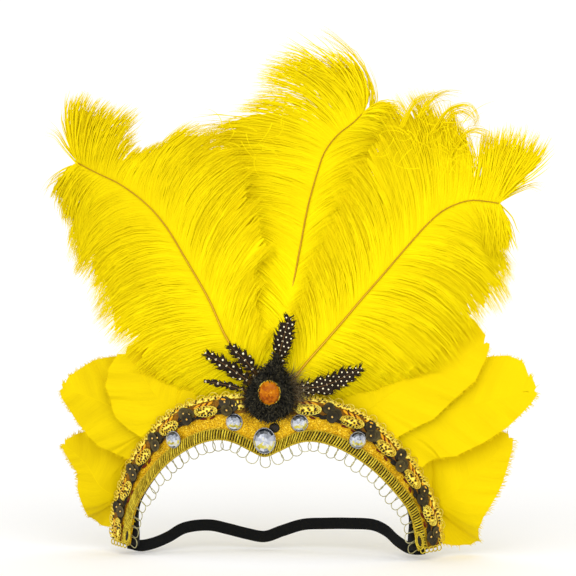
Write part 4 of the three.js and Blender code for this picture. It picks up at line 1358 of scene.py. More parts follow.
@dataclass(frozen=True)
class BrowPattern:
    """The flat pattern of the band and the round brow that it is bent over.

    A row of half is a section of the right half: the lower edge's place along the band and height,
    then the upper edge's. A place on the band runs from 0 at the left end to 1 at the right.
    """

    radius: float = 148.0
    half: tuple[tuple[float, float, float, float], ...] = (
        (0, -22, 0, 21.5), (10, -18, 11, 21.5), (19, -13.5, 21, 20.5), (28, -11, 32, 19.5),
        (37, -11.5, 43, 17), (47, -14.5, 55, 13), (57, -19.5, 66, 8), (67, -26, 76, 1), (77, -34, 86.5, -9),
        (86.5, -43.5, 97, -19.5), (95, -53, 107, -30.5), (102, -62, 115.5, -43.5), (107, -72, 123, -56.5),
        (109.5, -83, 130, -72), (112, -94, 131, -93),
    )

    def edge(self, place: Array, upper: bool) -> Array:
        """Points of the lower or upper edge, as along and height."""
        first = 2 if upper else 0
        rows = np.array(self.half, float)[:, first : first + 2]
        mirrored = rows[:0:-1] * [-1, 1]
        return Curve(tuple(map(tuple, np.vstack([mirrored, rows])))).at(np.asarray(place, float))

    def from_low(self, place: Array, height: Values) -> Array:
        """Points at a height over the lower edge, straight towards the upper one."""
        low = self.edge(place, False)
        return low + unit(self.edge(place, True) - low) * np.asarray(height, float)[..., None]

    def from_high(self, place: Array, depth: Values) -> Array:
        """Points at a depth under the upper edge, straight towards the lower one."""
        high = self.edge(place, True)
        return high + unit(self.edge(place, False) - high) * np.asarray(depth, float)[..., None]

    def bend(self, flat: Array, out: Values) -> Array:
        """Points of the pattern laid round the brow: radius + out, turned by along / radius."""
        turn = flat[..., 0] / self.radius
        far = self.radius + np.broadcast_to(out, turn.shape)
        return np.stack([far * np.sin(turn), self.radius - far * np.cos(turn), flat[..., 1]], -1)

    def outward(self, flat: Array) -> Array:
        """Directions away from the brow."""
        turn = flat[..., 0] / self.radius
        return np.stack([np.sin(turn), -np.cos(turn), 0 * turn], -1)

    def even(self, line: Callable[[Array], Array], ends: Span, count: int) -> Array:
        """Places with equal steps between them on one of the band's lines.

        Args:
            line: Gives the line's flat points at places.
            ends: First and last place.
            count: How many places, each in the middle of its step.

        Returns:
            The places.
        """
        fine = np.linspace(*ends, LINE_STEPS)
        run = distances(line(fine))
        return np.interp(run[-1] * (np.arange(count) + 0.5) / count, run, fine)

    def axes(self, line: Callable[[Array], Array], place: Array) -> tuple[Array, Array]:
        """Flat directions along a line and across it, upward on the band."""
        fore, aft = (line(np.clip(place + step, 0, 1)) for step in (LINE_SLOPE, -LINE_SLOPE))
        ahead = unit(fore - aft)
        return ahead, np.stack([-ahead[..., 1], ahead[..., 0]], -1)

    def swung(self, axes: tuple[Array, Array], degrees: float) -> tuple[Array, Array]:
        """A pair of flat directions turned by an angle."""
        ahead, rise = axes
        turn = np.radians(degrees)
        return ahead * np.cos(turn) + rise * np.sin(turn), rise * np.cos(turn) - ahead * np.sin(turn)

    def figure(self, middle: Array, axes: tuple[Array, Array], x: Array, y: Array) -> Array:
        """Flat figures round middles: x in the first direction and y in the second."""
        first, second = axes
        return middle[:, None] + first[:, None] * x[..., None] + second[:, None] * y[..., None]

    def strip(self, low: Array, high: Array, back: float, front: float, crown: float) -> Skin:
        """A strip between two lines, as thick as back to front, rounded at its edges.

        Across the front the distance outward is front + crown x sin(pi v), less a quarter round of
        a third of the thickness at each edge.

        Args:
            low: Flat points of the lower line.
            high: Flat points of the upper line.
            back: Distance outward of the back.
            front: Distance outward of the front.
            crown: How much further the middle of the front stands.

        Returns:
            The closed strip.
        """
        v = 0.5 - 0.5 * np.cos(np.pi * np.linspace(0, 1, 13))
        drop = 0.33 * (front - back) * (1 - np.sqrt(1 - (2 * np.abs(v - 0.5)) ** 8))
        rows = np.concatenate([v, v[::-1]])
        out = np.concatenate([back + drop, (front + crown * np.sin(np.pi * v) - drop)[::-1]])
        flat = low[:, None] + (high - low)[:, None] * rows[:, None]
        rings = self.bend(flat, out)[None]
        run = distances(low)
        wide = np.linalg.norm(high - low, axis=1)
        uv = np.stack([wide[:, None] * rows, run[:, None] + 0 * rows], -1)[None]
        return loft(rings, uv)

    def thread(
        self, flat: Array, out: Values, radius: float, tone: Values = 0.5, closed: bool = False
    ) -> Skin:
        """Round threads along flat lines at a distance outward."""
        path, facing = self.bend(flat, out), self.outward(flat)
        return sweep(path, facing, radius, radius, Section.THREAD, tone, closed=closed)

    def seats(
        self, flat: Array, out: Values, ahead: Array, half: Span, tilt: Values = 0.0
    ) -> tuple[Array, Array]:
        """Middles and axes for turned shapes that lie on the band.

        Args:
            flat: Flat points of the middles.
            out: Distance outward, for each shape or all.
            ahead: Flat direction of the first half axis.
            half: The two half axes.
            tilt: How far each shape leans, as a slope along its second axis.

        Returns:
            Middles and axes as turned() takes them.
        """
        centre = self.bend(flat, out)
        normal = self.outward(flat)
        first = unit(self.bend(flat + 0.01 * ahead, out) - centre)
        second = np.cross(normal, first)
        lean = np.broadcast_to(tilt, len(flat))[:, None]
        outward = unit(normal + lean * second)
        second = np.cross(outward, first)
        return centre, np.stack([first * half[0], second * half[1], outward], 1)


BROW = BrowPattern()
TWO_STRANDS = np.array([[0.0], [np.pi]])
TWIST_STEPS = 8
LOOP_STEPS = 10
TAIL_PETAL = ((0.9, 0.0), (1.0, 0.3), (0.7, 0.8), (0.05, 1.0))
TRIM_PETAL = ((0.9, 0.0), (1.0, 0.25), (0.8, 0.75), (0.4, 1.0), (0.05, 1.05))
ROUND_LEAF = ((0.9, 0.0), (1.0, 0.25), (0.7, 0.8), (0.05, 1.0))
PAD_PETAL = ((0.9, 0.0), (1.0, 0.3), (0.75, 0.9), (0.05, 1.1))
SEQUIN_CUP = ((0.1, 0.0), (0.55, 0.1), (0.97, 0.55), (1.0, 0.72), (0.93, 0.72), (0.6, 0.4), (0.12, 0.34))
SEQUIN_BEAD = ((0.05, 0.1), (0.15, 0.3), (0.18, 0.6), (0.12, 0.95), (0.02, 1.05))


@dataclass(frozen=True)
class Band:
    """The stiff crescent in glitter cloth, and the felt on its back.

    cloth and felt are the distances outward of their backs and fronts.
    """

    trimmed: float = 0.8
    cloth: Span = (3.6, 6.1)
    felt: Span = (0.0, 1.2)
    overhang: float = -3.0
    tab: float = 4.0
    inset: float = 3.0

    def build(self) -> None:
        """Makes the band and its lining, which hangs lower in a tab at each end."""
        place = np.linspace(0, 1, BAND_STEPS)
        low, high = BROW.from_low(place, self.trimmed), BROW.from_high(place, 0)
        body = BROW.strip(low, high, *self.cloth, 0.0)
        add_piece("band_cloth", body, GLITTER_CLOTH, Slot.CLOTH, ["band"])
        ends = np.clip((np.abs(place - 0.5) - 0.4) / 0.09, 0, 1)
        below = self.overhang + (self.tab - self.overhang) * ease(ends)
        low, high = BROW.from_low(place, -below), BROW.from_high(place, self.inset)
        lining = BROW.strip(low, high, *self.felt, 0.0)
        add_piece("band_felt", lining, FELT, Slot.FELT, ["band_lining"])


@dataclass(frozen=True)
class LowerBraid:
    """The ribbed braid along the lower edge: a ground tape, slanted ribs, two edge cords and hanging loops.

    A name that ends in out is a distance outward. A row of cords is the height of a cord over the lower
    edge, its radius and how far its strands swing. tail is the place of the oval at each end of the band,
    and a row of ovals is the half length and half width of one of its cords.
    """

    width: float = 8.0
    tape_out: Span = (6.4, 6.9)
    tape_crown: float = 0.2
    ribs: int = 166
    slant: float = 2.4
    rib_radius: float = 0.6
    rib_out: float = 7.0
    rib_rise: float = 0.75
    cords: Points = ((0.2, 0.4, 0.42), (7.7, 0.26, 0.3))
    cord_out: float = 7.1
    twists: int = 120
    loops: int = 43
    loop_radius: float = 0.33
    loop_out: float = 5.4
    loop_points: Spans = (
        (-3.2, -2.6), (-3.3, 1.2), (-3.75, 4.2), (-2.9, 7.0), (0, 8.2), (2.9, 7.0), (3.75, 4.2), (3.3, 1.2),
        (3.2, -2.6),
    )
    tail: Span = (0.022, 0.978)
    tail_height: float = 1.6
    ovals: Spans = ((6.2, 3.3), (4.6, 2.2))
    oval_out: float = 8.3
    rings: int = 5
    ring_radius: float = 2.0
    ring_out: float = 7.9
    petal: Span = (4.4, 2.0)
    petal_out: float = 7.4

    def rib_skin(self, rng: Rng) -> Skin:
        """Ribs from edge to edge: each leans along the band and rises by sin(pi v) between its ends.

        Args:
            rng: Random source.

        Returns:
            One skin with the ribs.
        """
        line = partial(BROW.from_low, height=self.width / 2)
        place = BROW.even(line, (0.004, 0.996), self.ribs)
        ahead, _ = BROW.axes(line, place)
        v = np.linspace(0, 1, 7)
        lean = self.slant * (v - 0.5) + rng.normal(0, 0.12, (self.ribs, 1))
        low, high = BROW.from_low(place, 0.5), BROW.from_low(place, self.width)
        flat = low[:, None] + (high - low)[:, None] * v[:, None] + ahead[:, None] * lean[..., None]
        out = np.broadcast_to(self.rib_out + self.rib_rise * np.sin(np.pi * v), flat.shape[:2])
        return BROW.thread(flat, out, self.rib_radius, rng.uniform(0.3, 0.9, self.ribs)[:, None])

    def cord_skin(self, height: float, radius: float, swing: float) -> Skin:
        """Two strands twisted together along the braid: the sine of a turn across and its cosine outward.

        Args:
            height: Height of the cord over the lower edge.
            radius: Radius of a strand.
            swing: How far the strands swing.

        Returns:
            One skin with both strands.
        """
        steps = TWIST_STEPS * self.twists
        place = BROW.even(partial(BROW.from_low, height=height), (0.0, 1.0), steps)
        turns = TWO_STRANDS + 2 * np.pi * np.arange(steps) / TWIST_STEPS
        flat = BROW.from_low(place, height + swing * np.sin(turns))
        return BROW.thread(flat, self.cord_out + swing * np.cos(turns), radius, 0.6)

    def loop_skin(self, rng: Rng) -> Skin:
        """One loop for each step of the edge, hung between posts that two loops share.

        Args:
            rng: Random source.

        Returns:
            One skin with the loops.
        """
        line = partial(BROW.from_low, height=0)
        place = BROW.even(line, (0.0, 1.0), self.loops)
        across, drop = Curve(self.loop_points).at(np.linspace(0, 1, 25)).T
        each = (self.loops, 1)
        across = across * (1 + rng.normal(0, 0.06, each))
        drop = np.where(drop > 0, drop * (1 + rng.normal(0, 0.07, each)), drop)
        hang = np.maximum(drop, 0)
        sway = rng.normal(0, 0.05, each) * hang
        flat = BROW.figure(line(place), BROW.axes(line, place), across + sway, -drop)
        out = self.loop_out + rng.normal(0, 0.1, each) * hang
        return BROW.thread(flat, out, self.loop_radius, rng.uniform(0.3, 0.8, each))

    def scroll_skin(self) -> Skin:
        """The braid's tail at each end of the band: an oval of cord, and small rings across the end."""
        turn = once_round(40)
        skins = []
        for end, inner in zip((0.0, 1.0), np.array(self.tail)[:, None]):
            axes = BROW.axes(partial(BROW.from_low, height=2.0), inner)
            middle = BROW.from_low(inner, self.tail_height)
            for half, wide in self.ovals:
                oval = BROW.figure(middle, axes, half * np.cos(turn), wide * np.sin(turn))
                skins.append(BROW.thread(oval, self.oval_out, 0.5, 0.75, True))
            rings = BROW.from_low(np.full(self.rings, end), np.linspace(3, 18, self.rings))
            ring = self.ring_radius * np.stack([np.cos(turn), np.sin(turn)], -1)
            skins.append(BROW.thread(rings[:, None] + ring, self.ring_out, 0.45, 0.7, True))
        return Skin.join(skins)

    def petal_skin(self) -> Skin:
        """The dark petal inside the oval of cord at each end."""
        place = np.array(self.tail)
        ahead, _ = BROW.axes(partial(BROW.from_low, height=2.0), place)
        flat = BROW.from_low(place, self.tail_height)
        return turned(*BROW.seats(flat, self.petal_out, ahead, self.petal), TAIL_PETAL, 16)

    def build(self) -> None:
        """Makes the tape, the ribs with their cords, the petals and the loops."""
        rng = np.random.default_rng(41)
        place = np.linspace(0, 1, BAND_STEPS)
        low, high = BROW.from_low(place, 0), BROW.from_low(place, self.width)
        tape = BROW.strip(low, high, *self.tape_out, self.tape_crown)
        add_piece("braid_tape", tape, BRAID_GROUND, Slot.THREAD)
        ribs = [self.rib_skin(rng), *(self.cord_skin(*cord) for cord in self.cords), self.scroll_skin()]
        add_piece("braid_ribs", Skin.join(ribs), BRAID_GOLD, Slot.THREAD, ["lower_braid"])
        add_piece("braid_petals", self.petal_skin(), DARK_CORD, Slot.SEQUIN)
        add_piece("braid_loops", self.loop_skin(rng), LOOP_GOLD, Slot.THREAD, ["loop_edging"])


class Petal(NamedTuple):
    """A low oval for each repeat of the trim, at the leaves or at the sequin clusters where odd.

    depth is that of its middle under the upper edge, half and wide its half length and half width, shift the
    degrees that it is turned on the trim, out the distance outward of its back and along the millimetres
    along the band from the repeat's middle.
    """

    odd: bool
    depth: float
    half: float
    wide: float
    shift: float
    out: float
    along: float = 0.0


@dataclass(frozen=True)
class SequinTrim:
    """The trim on one half of the upper edge: looped gold leaves between clusters of dark sequins.

    ends are the places between which the leaves and clusters repeat, tape those of the ground under
    them, and inner that of the small leaf beside the pad.
    """

    side: Side
    ends: Span
    tape: Span
    inner: float
    clusters: int = 5
    over: float = 1.2
    under: float = 12.0
    sequin: float = 4.4
    picots: int = 19
    loops: int = 20
    loop_radius: float = 0.85
    vein_steps: int = 150
    vein_pitch: int = 15
    leaf: Petal = Petal(False, 7.7, 7.6, 3.1, 8, 7.1)
    leaf_edge: Petal = Petal(False, 7.7, 7.9, 3.1, 8, 8.2)
    orange: tuple[Petal, ...] = (
        *(Petal(False, 3.2, 3.4, 1.0, -18, 7.4, along) for along in (-6, -1.2, 3.6)),
        Petal(True, 1.2, 4.2, 1.1, 14, 7.3, -3),
    )
    russet: tuple[Petal, ...] = (
        Petal(False, 12.6, 3.0, 0.9, 14, 6.2, -3.5),
        Petal(False, 13.4, 2.6, 0.8, -12, 6.2, 3.5),
        Petal(False, 3.6, 2.6, 0.7, -30, 7.8, -3.6),
        Petal(False, 3.4, 2.6, 0.7, -30, 7.8, 1.4),
    )
    dark: tuple[Petal, ...] = (
        Petal(True, 10.8, 4.2, 1.6, 24, 7.0, -3.4),
        Petal(True, 6.2, 3.8, 1.5, -30, 7.0, -4.6),
    )

    def line(self, place: Array) -> Array:
        """The middle of the trim."""
        return BROW.from_high(place, self.under / 2)

    def places(self, odd: bool) -> Array:
        """The middles of the leaves, or of the sequin clusters where odd."""
        return BROW.even(self.line, self.ends, 2 * self.clusters)[int(odd) :: 2]

    def petal_axes(self, petal: Petal) -> tuple[Array, tuple[Array, Array]]:
        """Flat middles of a petal at each repeat, and its directions along and across."""
        place = self.places(petal.odd)
        axes = BROW.axes(self.line, place)
        middle = BROW.from_high(place, petal.depth) + axes[0] * petal.along
        return middle, BROW.swung(axes, petal.shift * self.side.value)

    def leaf_skin(self, rng: Rng) -> Skin:
        """Looped edges of the leaves: small circles of thread carried round an oval.

        A point is the oval's half x cos(t), wide x sin(t) plus a loop of loop_radius turned loops times
        as fast, with the thread rising and falling through each loop.

        Args:
            rng: Random source.

        Returns:
            One skin with the leaves' threads.
        """
        leaf = self.leaf_edge
        middle, axes = self.petal_axes(leaf)
        t = once_round(9 * self.loops)
        x = leaf.half * np.cos(t) + self.loop_radius * np.cos(self.loops * t)
        y = leaf.wide * np.sin(t) + self.loop_radius * np.sin(self.loops * t)
        out = np.tile(leaf.out + 0.5 * np.sin(self.loops * t + 1), (len(middle), 1))
        tone = rng.uniform(0.4, 0.9, (len(middle), 1))
        return BROW.thread(BROW.figure(middle, axes, x, y), out, 0.38, tone, True)

    def chain_skin(self, rng: Rng, depth: float, radius: float, pitch: float) -> Skin:
        """A run of looped thread along the trim: a circle carried along, one turn for each pitch.

        Args:
            rng: Random source.
            depth: Depth under the upper edge.
            radius: Radius of a loop.
            pitch: Distance between loops.

        Returns:
            One skin with the thread.
        """
        line = partial(BROW.from_high, depth=depth)
        loops = int(distances(line(np.linspace(*self.tape, 200)))[-1] / pitch)
        steps = LOOP_STEPS * loops
        place = BROW.even(line, self.tape, steps)
        ahead, rise = BROW.axes(line, place)
        turn = 2 * np.pi * np.arange(steps) / LOOP_STEPS
        size = np.repeat(radius * rng.uniform(0.75, 1.2, loops), LOOP_STEPS)[:, None]
        flat = line(place) + size * (ahead * np.cos(turn)[:, None] + rise * np.sin(turn)[:, None])
        out = 8.0 + 0.45 * np.sin(turn + 1)
        tone = np.repeat(rng.uniform(0.35, 0.95, loops), LOOP_STEPS)
        return BROW.thread(flat[None], out[None], 0.36, tone[None])

    def pad_skin(self, petal: Petal) -> Skin:
        """Flat petals on the trim: low ovals with a rounded top."""
        middle, (first, _) = self.petal_axes(petal)
        seats = BROW.seats(middle, petal.out, first, (petal.half, petal.wide))
        return turned(*seats, TRIM_PETAL, 14)

    def inner_skin(self) -> Skin:
        """The small round leaf between the last repeat and the pad."""
        place = np.array([self.inner])
        ahead, _ = BROW.axes(self.line, place)
        seats = BROW.seats(BROW.from_high(place, 6.2), 7.2, ahead, (4.4, 4.0))
        return turned(*seats, ROUND_LEAF, 18)

    def sequin_skin(self, rng: Rng) -> tuple[Skin, Skin]:
        """Cupped sequins in threes, and the bead that holds each.

        Args:
            rng: Random source.

        Returns:
            The sequins and the beads.
        """
        place = np.repeat(self.places(True), 3)
        depth = np.tile([3.6, 9.2, 6.6], self.clusters) + rng.normal(0, 0.4, len(place))
        aside = np.tile([-1.4, 0.2, 3.4], self.clusters) + rng.normal(0, 0.5, len(place))
        ahead, _ = BROW.axes(self.line, place)
        flat = BROW.from_high(place, depth) + ahead * aside[:, None]
        lift = np.tile([8.0, 8.5, 7.6], self.clusters)
        lean = rng.normal(0, 0.1, len(place))
        seats = BROW.seats(flat, lift, ahead, (self.sequin, self.sequin), lean)
        sequins = turned(*seats, SEQUIN_CUP, 18, rng.random(len(place)))
        return sequins, turned(*seats, SEQUIN_BEAD, 8, 0.8)

    def vein_skin(self) -> Skin:
        """The dark cord along the inner side of the trim: two strands in a slow twist."""
        place = BROW.even(self.line, (self.ends[0] + 0.01, self.ends[1] - 0.01), self.vein_steps)
        turns = TWO_STRANDS + 2 * np.pi * np.arange(self.vein_steps) / self.vein_pitch
        flat = BROW.from_high(place, 10.6 + 0.8 * np.sin(turns))
        return BROW.thread(flat, 7.7 + 0.4 * np.cos(turns), 0.6)

    def picot_skin(self, rng: Rng) -> Skin:
        """Scallops of thread past the upper edge: half ovals that start and end on it.

        Args:
            rng: Random source.

        Returns:
            One skin with the scallops.
        """
        line = partial(BROW.from_high, depth=-self.over)
        place = BROW.even(line, self.tape, self.picots)
        t = np.linspace(-0.15, 1.15, 17) * np.pi
        each = (self.picots, 1)
        tall = rng.uniform(2.6, 4.0, each)
        wide = rng.uniform(3.0, 3.9, each)
        flat = BROW.figure(line(place), BROW.axes(line, place), -wide * np.cos(t), tall * np.sin(t))
        out = 7.2 + 0.5 * np.sin(t) + rng.normal(0, 0.2, each)
        return BROW.thread(flat, out, 0.3, rng.uniform(0.3, 0.8, each))

    def strip(self, low: float, high: float, back: float, front: float, crown: float) -> Skin:
        """A strip of the trim between two depths, from back to front with a crown."""
        lines = (BROW.from_high(np.linspace(*self.tape, 90), depth) for depth in (low, high))
        return BROW.strip(*lines, back, front, crown)

    def build(self) -> None:
        """Makes the ground, the gold leaves, the petals, the sequins and their beads."""
        name = self.side.name.lower()
        rng = np.random.default_rng(50 + self.side.value)
        ground = self.strip(self.under, -self.over, 6.4, 7.0, 0.2)
        net = [self.strip(1.3, -1.8, 7.1, 7.7, 0.3), self.pad_skin(self.leaf), self.inner_skin()]
        gold = [self.leaf_skin(rng), self.chain_skin(rng, -1.4, 1.1, 2.6), self.picot_skin(rng)]
        orange = [self.pad_skin(petal) for petal in self.orange]
        russet = [self.pad_skin(petal) for petal in self.russet]
        dark = [self.vein_skin(), *(self.pad_skin(petal) for petal in self.dark)]
        sequins, beads = self.sequin_skin(rng)
        for label, skins, finish, slot, nodes in (
            ("ground", [ground], TRIM_GROUND, Slot.THREAD, []),
            ("net", net, GOLD_NET, Slot.THREAD, []),
            ("gold", gold, TRIM_GOLD, Slot.THREAD, [f"sequin_trim_{name}"]),
            ("orange", orange, TRIM_ORANGE, Slot.THREAD, []),
            ("russet", russet, RUSSET, Slot.THREAD, []),
            ("vein", dark, DARK_CORD, Slot.SEQUIN, []),
            ("sequins", [sequins], DARK_SEQUIN, Slot.SEQUIN, [f"sequin_string_{name}"]),
            ("beads", [beads], BEAD, Slot.THREAD, []),
        ):
            add_piece(f"trim_{name}_{label}", Skin.join(skins), finish, slot, nodes)


TRIMS = (
    SequinTrim(Side.LEFT, ends=(0.004, 0.438), tape=(0.004, 0.458), inner=0.44),
    SequinTrim(Side.RIGHT, ends=(0.577, 0.996), tape=(0.566, 0.996), inner=0.575),
)


# Painted reflection on the clear stones by height: dark at the top, grey and white across the middle, yellow
# lower down where the feathers would be mirrored, dark again at the foot.
CLEAR_PAINTED_REFLECTION_BANDS = (
    (-1.0, 0.25), (-0.74, 0.22), (-0.6, 0.8), (-0.3, 0.84), (-0.14, 0.58), (0.25, 0.5), (0.44, 0.42),
    (0.56, 0.16), (0.9, 0.12), (1.0, 0.3),
)
# Painted light on the amber stone by height: a painted highlight along the top rim and painted shade in bands
# across it.
AMBER_PAINTED_LIGHT_BANDS = ((-1.0, 0.7), (-0.75, 0.45), (-0.35, 0.2), (0.05, 0.6), (0.4, 0.3), (0.72, 0.55), (1.0, 0.95))


@dataclass(frozen=True)
class CutStone:
    """A cut stone on foil in a thin setting: tiers of facets from the girdle to a small table.

    A row of tiers is a radius, as a share of the half axes, and a height, as a share of the half width. A
    row of bands is a height on the stone, from -1 to 1, and the facets' tone there, which paints the
    stone's reflections, highlights and shade by height.
    """

    node: str
    centre: Point
    turn: float
    wide: float
    tall: float
    slot: Slot
    seed: int
    glass: BlendFinish = CLEAR_STONE
    setting: BlendFinish = SETTING
    sides: int = 12
    setting_share: float = 0.98
    setting_out: float = 0.07
    setting_half: Span = (0.42, 0.5)
    bands: Spans = CLEAR_PAINTED_REFLECTION_BANDS
    tiers: Spans = (
        (0.9, 0.0), (0.97, 0.1), (0.97, 0.2), (0.82, 0.4), (0.6, 0.53), (0.34, 0.58), (0.04, 0.6),
    )

    def build(self) -> None:
        """Makes the stone and the setting round it.

        A facet's tone goes by the height of its middle on the stone, which paints reflection, highlight
        and shade into it, and varies by the seed.
        """
        rng = np.random.default_rng(self.seed)
        across = self.wide * np.array([np.cos(self.turn), np.sin(self.turn), 0.0])
        outward = np.array([np.sin(self.turn), -np.cos(self.turn), 0.0])
        axes = np.stack([across, UP * self.tall, outward])[None]
        centre = np.array([self.centre])
        profile = tuple((share, height * self.wide) for share, height in self.tiers)
        stone = turned(centre, axes, profile, self.sides)
        height = np.concatenate([stone.points[face][..., 2].mean(1) for face in stone.faces])
        # Painted reflection and highlight: each facet's tone is set by its height on the stone.
        level, tone = np.array(self.bands).T
        tones = np.interp((height - self.centre[2]) / self.tall, level, tone)
        stone.facet = np.clip(tones + rng.normal(0, 0.08, len(height)), 0, 1)
        add_piece(f"{self.node}_glass", stone, self.glass, self.slot, [self.node], smooth=False)
        turn = once_round(48)
        girdle = np.outer(np.cos(turn), across) + np.outer(np.sin(turn), UP * self.tall)
        ring = centre + self.setting_share * girdle + outward * self.setting_out * self.wide
        rim = sweep(ring[None], outward, *self.setting_half, Section.CORD, 0.6, closed=True)
        add_piece(f"{self.node}_setting", rim, self.setting, self.slot)


STONES = tuple(
    CutStone(
        node=node,
        centre=tuple(BROW.bend(np.array([along, height]), out).tolist()),
        turn=along / BROW.radius,
        wide=wide,
        tall=tall,
        slot=Slot.CLEAR,
        seed=seed,
    )
    for node, along, height, out, wide, tall, seed in (
        ("stone_centre", 0.3, -10.4, 8.4, 7.9, 9.3, 61),
        ("stone_left_inner", -21.3, 2.2, 6.4, 6, 6, 62),
        ("stone_left_outer", -67, -12.5, 8.4, 6, 6, 63),
        ("stone_right_inner", 24, 2.2, 6.4, 6, 6, 64),
        ("stone_right_outer", 64, -10.6, 8.4, 6, 6, 65),
    )
)
AMBER = CutStone(
    node="amber_stone",
    centre=(4.6, -14.7, 24.8),
    turn=0.0,
    wide=8,
    tall=8.9,
    slot=Slot.AMBER,
    seed=66,
    glass=AMBER_STONE,
    setting=TRIM_GOLD,
    bands=AMBER_PAINTED_LIGHT_BANDS,
)


@dataclass(frozen=True)
class Rosette:
    """The teardrop pad of black chenille with brown and grey down at its sides.

    lip is how far the rim stands over the back and dip how far the seat of the stone lies under the rise. A
    row of down is a number of fibres, the directions that they spread between, in degrees from the right,
    and their shortest and longest length.
    """

    middle: Span = (4.3, 21.0)
    radius: float = 15.8
    tip: Span = (9.5, 50.0)
    heart: Span = (4.6, 24.8)
    back: float = 6.4
    lip: float = 1.2
    rise: float = 8.0
    dip: float = 1.6
    curls: int = 2300
    brown_down: tuple[tuple[int, Span, Span], ...] = (
        (420, (138, 228), (4, 9)),
        (420, (-48, 40), (4, 9)),
        (220, (20, 150), (3, 6)),
        (90, (228, 312), (2, 4)),
    )
    grey_down: tuple[int, Span, Span] = (220, (-8, 34), (9, 17))
    petal_at: Span = (6.8, -1.4)
    petal_half: Span = (3.8, 3.5)
    petal_out: float = 6.2

    def outline(self, turn: Array) -> Array:
        """The teardrop: a circle drawn to the tip by the power 2.4 of its upward share."""
        circle = np.array(self.middle) + self.radius * np.stack([np.cos(turn), np.sin(turn)], -1)
        peak = np.stack([self.tip[0] + 3 * np.cos(turn), np.full(turn.shape, self.tip[1])], -1)
        drawn = np.maximum(np.sin(turn), 0)[..., None] ** 2.4
        return circle + drawn * (peak - circle)

    def away(self, turn: Array, back: Array) -> Array:
        """Directions from the seat of the stone to the outline, with a part that points back."""
        flat = self.outline(turn) - np.array(self.heart)
        return unit(np.stack([flat[:, 0], back, flat[:, 1]], -1))

    def surface(self, turn: Array, share: Array) -> Array:
        """Points of the front: out by lip + (rise - dip) x the root of (1 - share^3) over the back."""
        flat = np.array(self.heart) + (self.outline(turn) - self.heart) * share[..., None]
        out = self.back + self.lip + (self.rise - self.dip) * np.sqrt(np.clip(1 - share**3.0, 0, 1))
        return np.stack([flat[..., 0], -out, flat[..., 1]], -1)

    def pad_skin(self) -> Skin:
        """The pad itself: rings from the flat back over the rim to the seat of the stone."""
        turn = once_round(64)
        shares = np.array([0.06, 0.2, 0.4, 0.6, 0.78, 0.9, 0.97, 1.0])
        front = self.surface(turn[None] + 0 * shares[:, None], shares[:, None] + 0 * turn[None])
        rear = front[[-1, 4, 0]].copy()
        rear[..., 1] = -self.back
        rings = np.concatenate([front, rear])[None]
        return loft(rings, np.zeros(2), 0.4)

    def curl_skin(self, rng: Rng) -> Skin:
        """Short hooked fibres all over the front: quarter circles that lean every way.

        Args:
            rng: Random source.

        Returns:
            One skin with the fibres.
        """
        turn = rng.uniform(0, 2 * np.pi, self.curls)
        share = np.sqrt(rng.uniform(0.12, 1.0, self.curls))
        root = self.surface(turn, share)
        away = self.away(turn, 0 * turn)
        normal = unit(FRONT * (1.15 - share[:, None]) + away * share[:, None])
        lean = unit(rng.normal(size=(self.curls, 3)))
        long = rng.uniform(1.3, 3.0, self.curls)[:, None, None]
        s = np.linspace(0, 1, 5)[:, None]
        hook = normal[:, None] * np.sin(2.0 * s) + 0.75 * lean[:, None] * (1 - np.cos(2.0 * s))
        paths = root[:, None] + long * hook
        wide = rng.uniform(0.3, 0.5, self.curls)[:, None] * (1.1 - 0.6 * s[:, 0])
        facing = unit(np.cross(normal, lean))[:, None]
        # A few fibres are painted pale as glints: the tone is a random share cubed, so most stay black.
        return sweep(paths, facing, wide, wide, Section.BLADE, rng.random(self.curls)[:, None] ** 3)

    def fluff_skin(self, rng: Rng, count: int, turns: Span, long: Span) -> Skin:
        """Fine down that spreads from the rim between two turns.

        Args:
            rng: Random source.
            count: Number of fibres.
            turns: First and last direction, in degrees from the right.
            long: Shortest and longest fibre.

        Returns:
            One skin with the fibres.
        """
        turn = np.radians(rng.uniform(*turns, count))
        root = self.surface(turn, np.full(count, 0.93)) * [1, 0, 1] + [0, -self.back - 1, 0]
        away = self.away(turn, rng.normal(0, 4, count))
        bend = rng.normal(0, 0.35, (count, 1, 3))
        s = np.linspace(0, 1, 5)[:, None]
        size = rng.uniform(*long, count)[:, None, None]
        paths = root[:, None] + size * (away[:, None] * s + bend * s**2)
        return sweep(paths, FRONT, 0.16 * (1.1 - s[:, 0]), 0.1, Section.BLADE, rng.random(count)[:, None])

    def petal_skin(self) -> Skin:
        """The dark petal that shows under the pad, beside the middle stone."""
        ahead = np.array([[1.0, 0.0]])
        seats = BROW.seats(np.array([self.petal_at]), self.petal_out, ahead, self.petal_half)
        return turned(*seats, PAD_PETAL, 18)

    def build(self) -> None:
        """Makes the pad, its curls, the down round it and the petal under it."""
        rng = np.random.default_rng(71)
        pile = Skin.join([self.pad_skin(), self.curl_skin(rng)])
        pad = add_piece("rosette_chenille", pile, CHENILLE, Slot.FELT, ["rosette_pad"])
        brown = Skin.join([self.fluff_skin(rng, *fibres) for fibres in self.brown_down])
        add_piece("rosette_down", brown, BROWN_FLUFF, Slot.SPOTTED)
        add_piece("rosette_pale_down", self.fluff_skin(rng, *self.grey_down), GREY_FLUFF, Slot.SPOTTED)
        add_piece("rosette_petal", self.petal_skin(), DARK_CORD, Slot.SEQUIN)


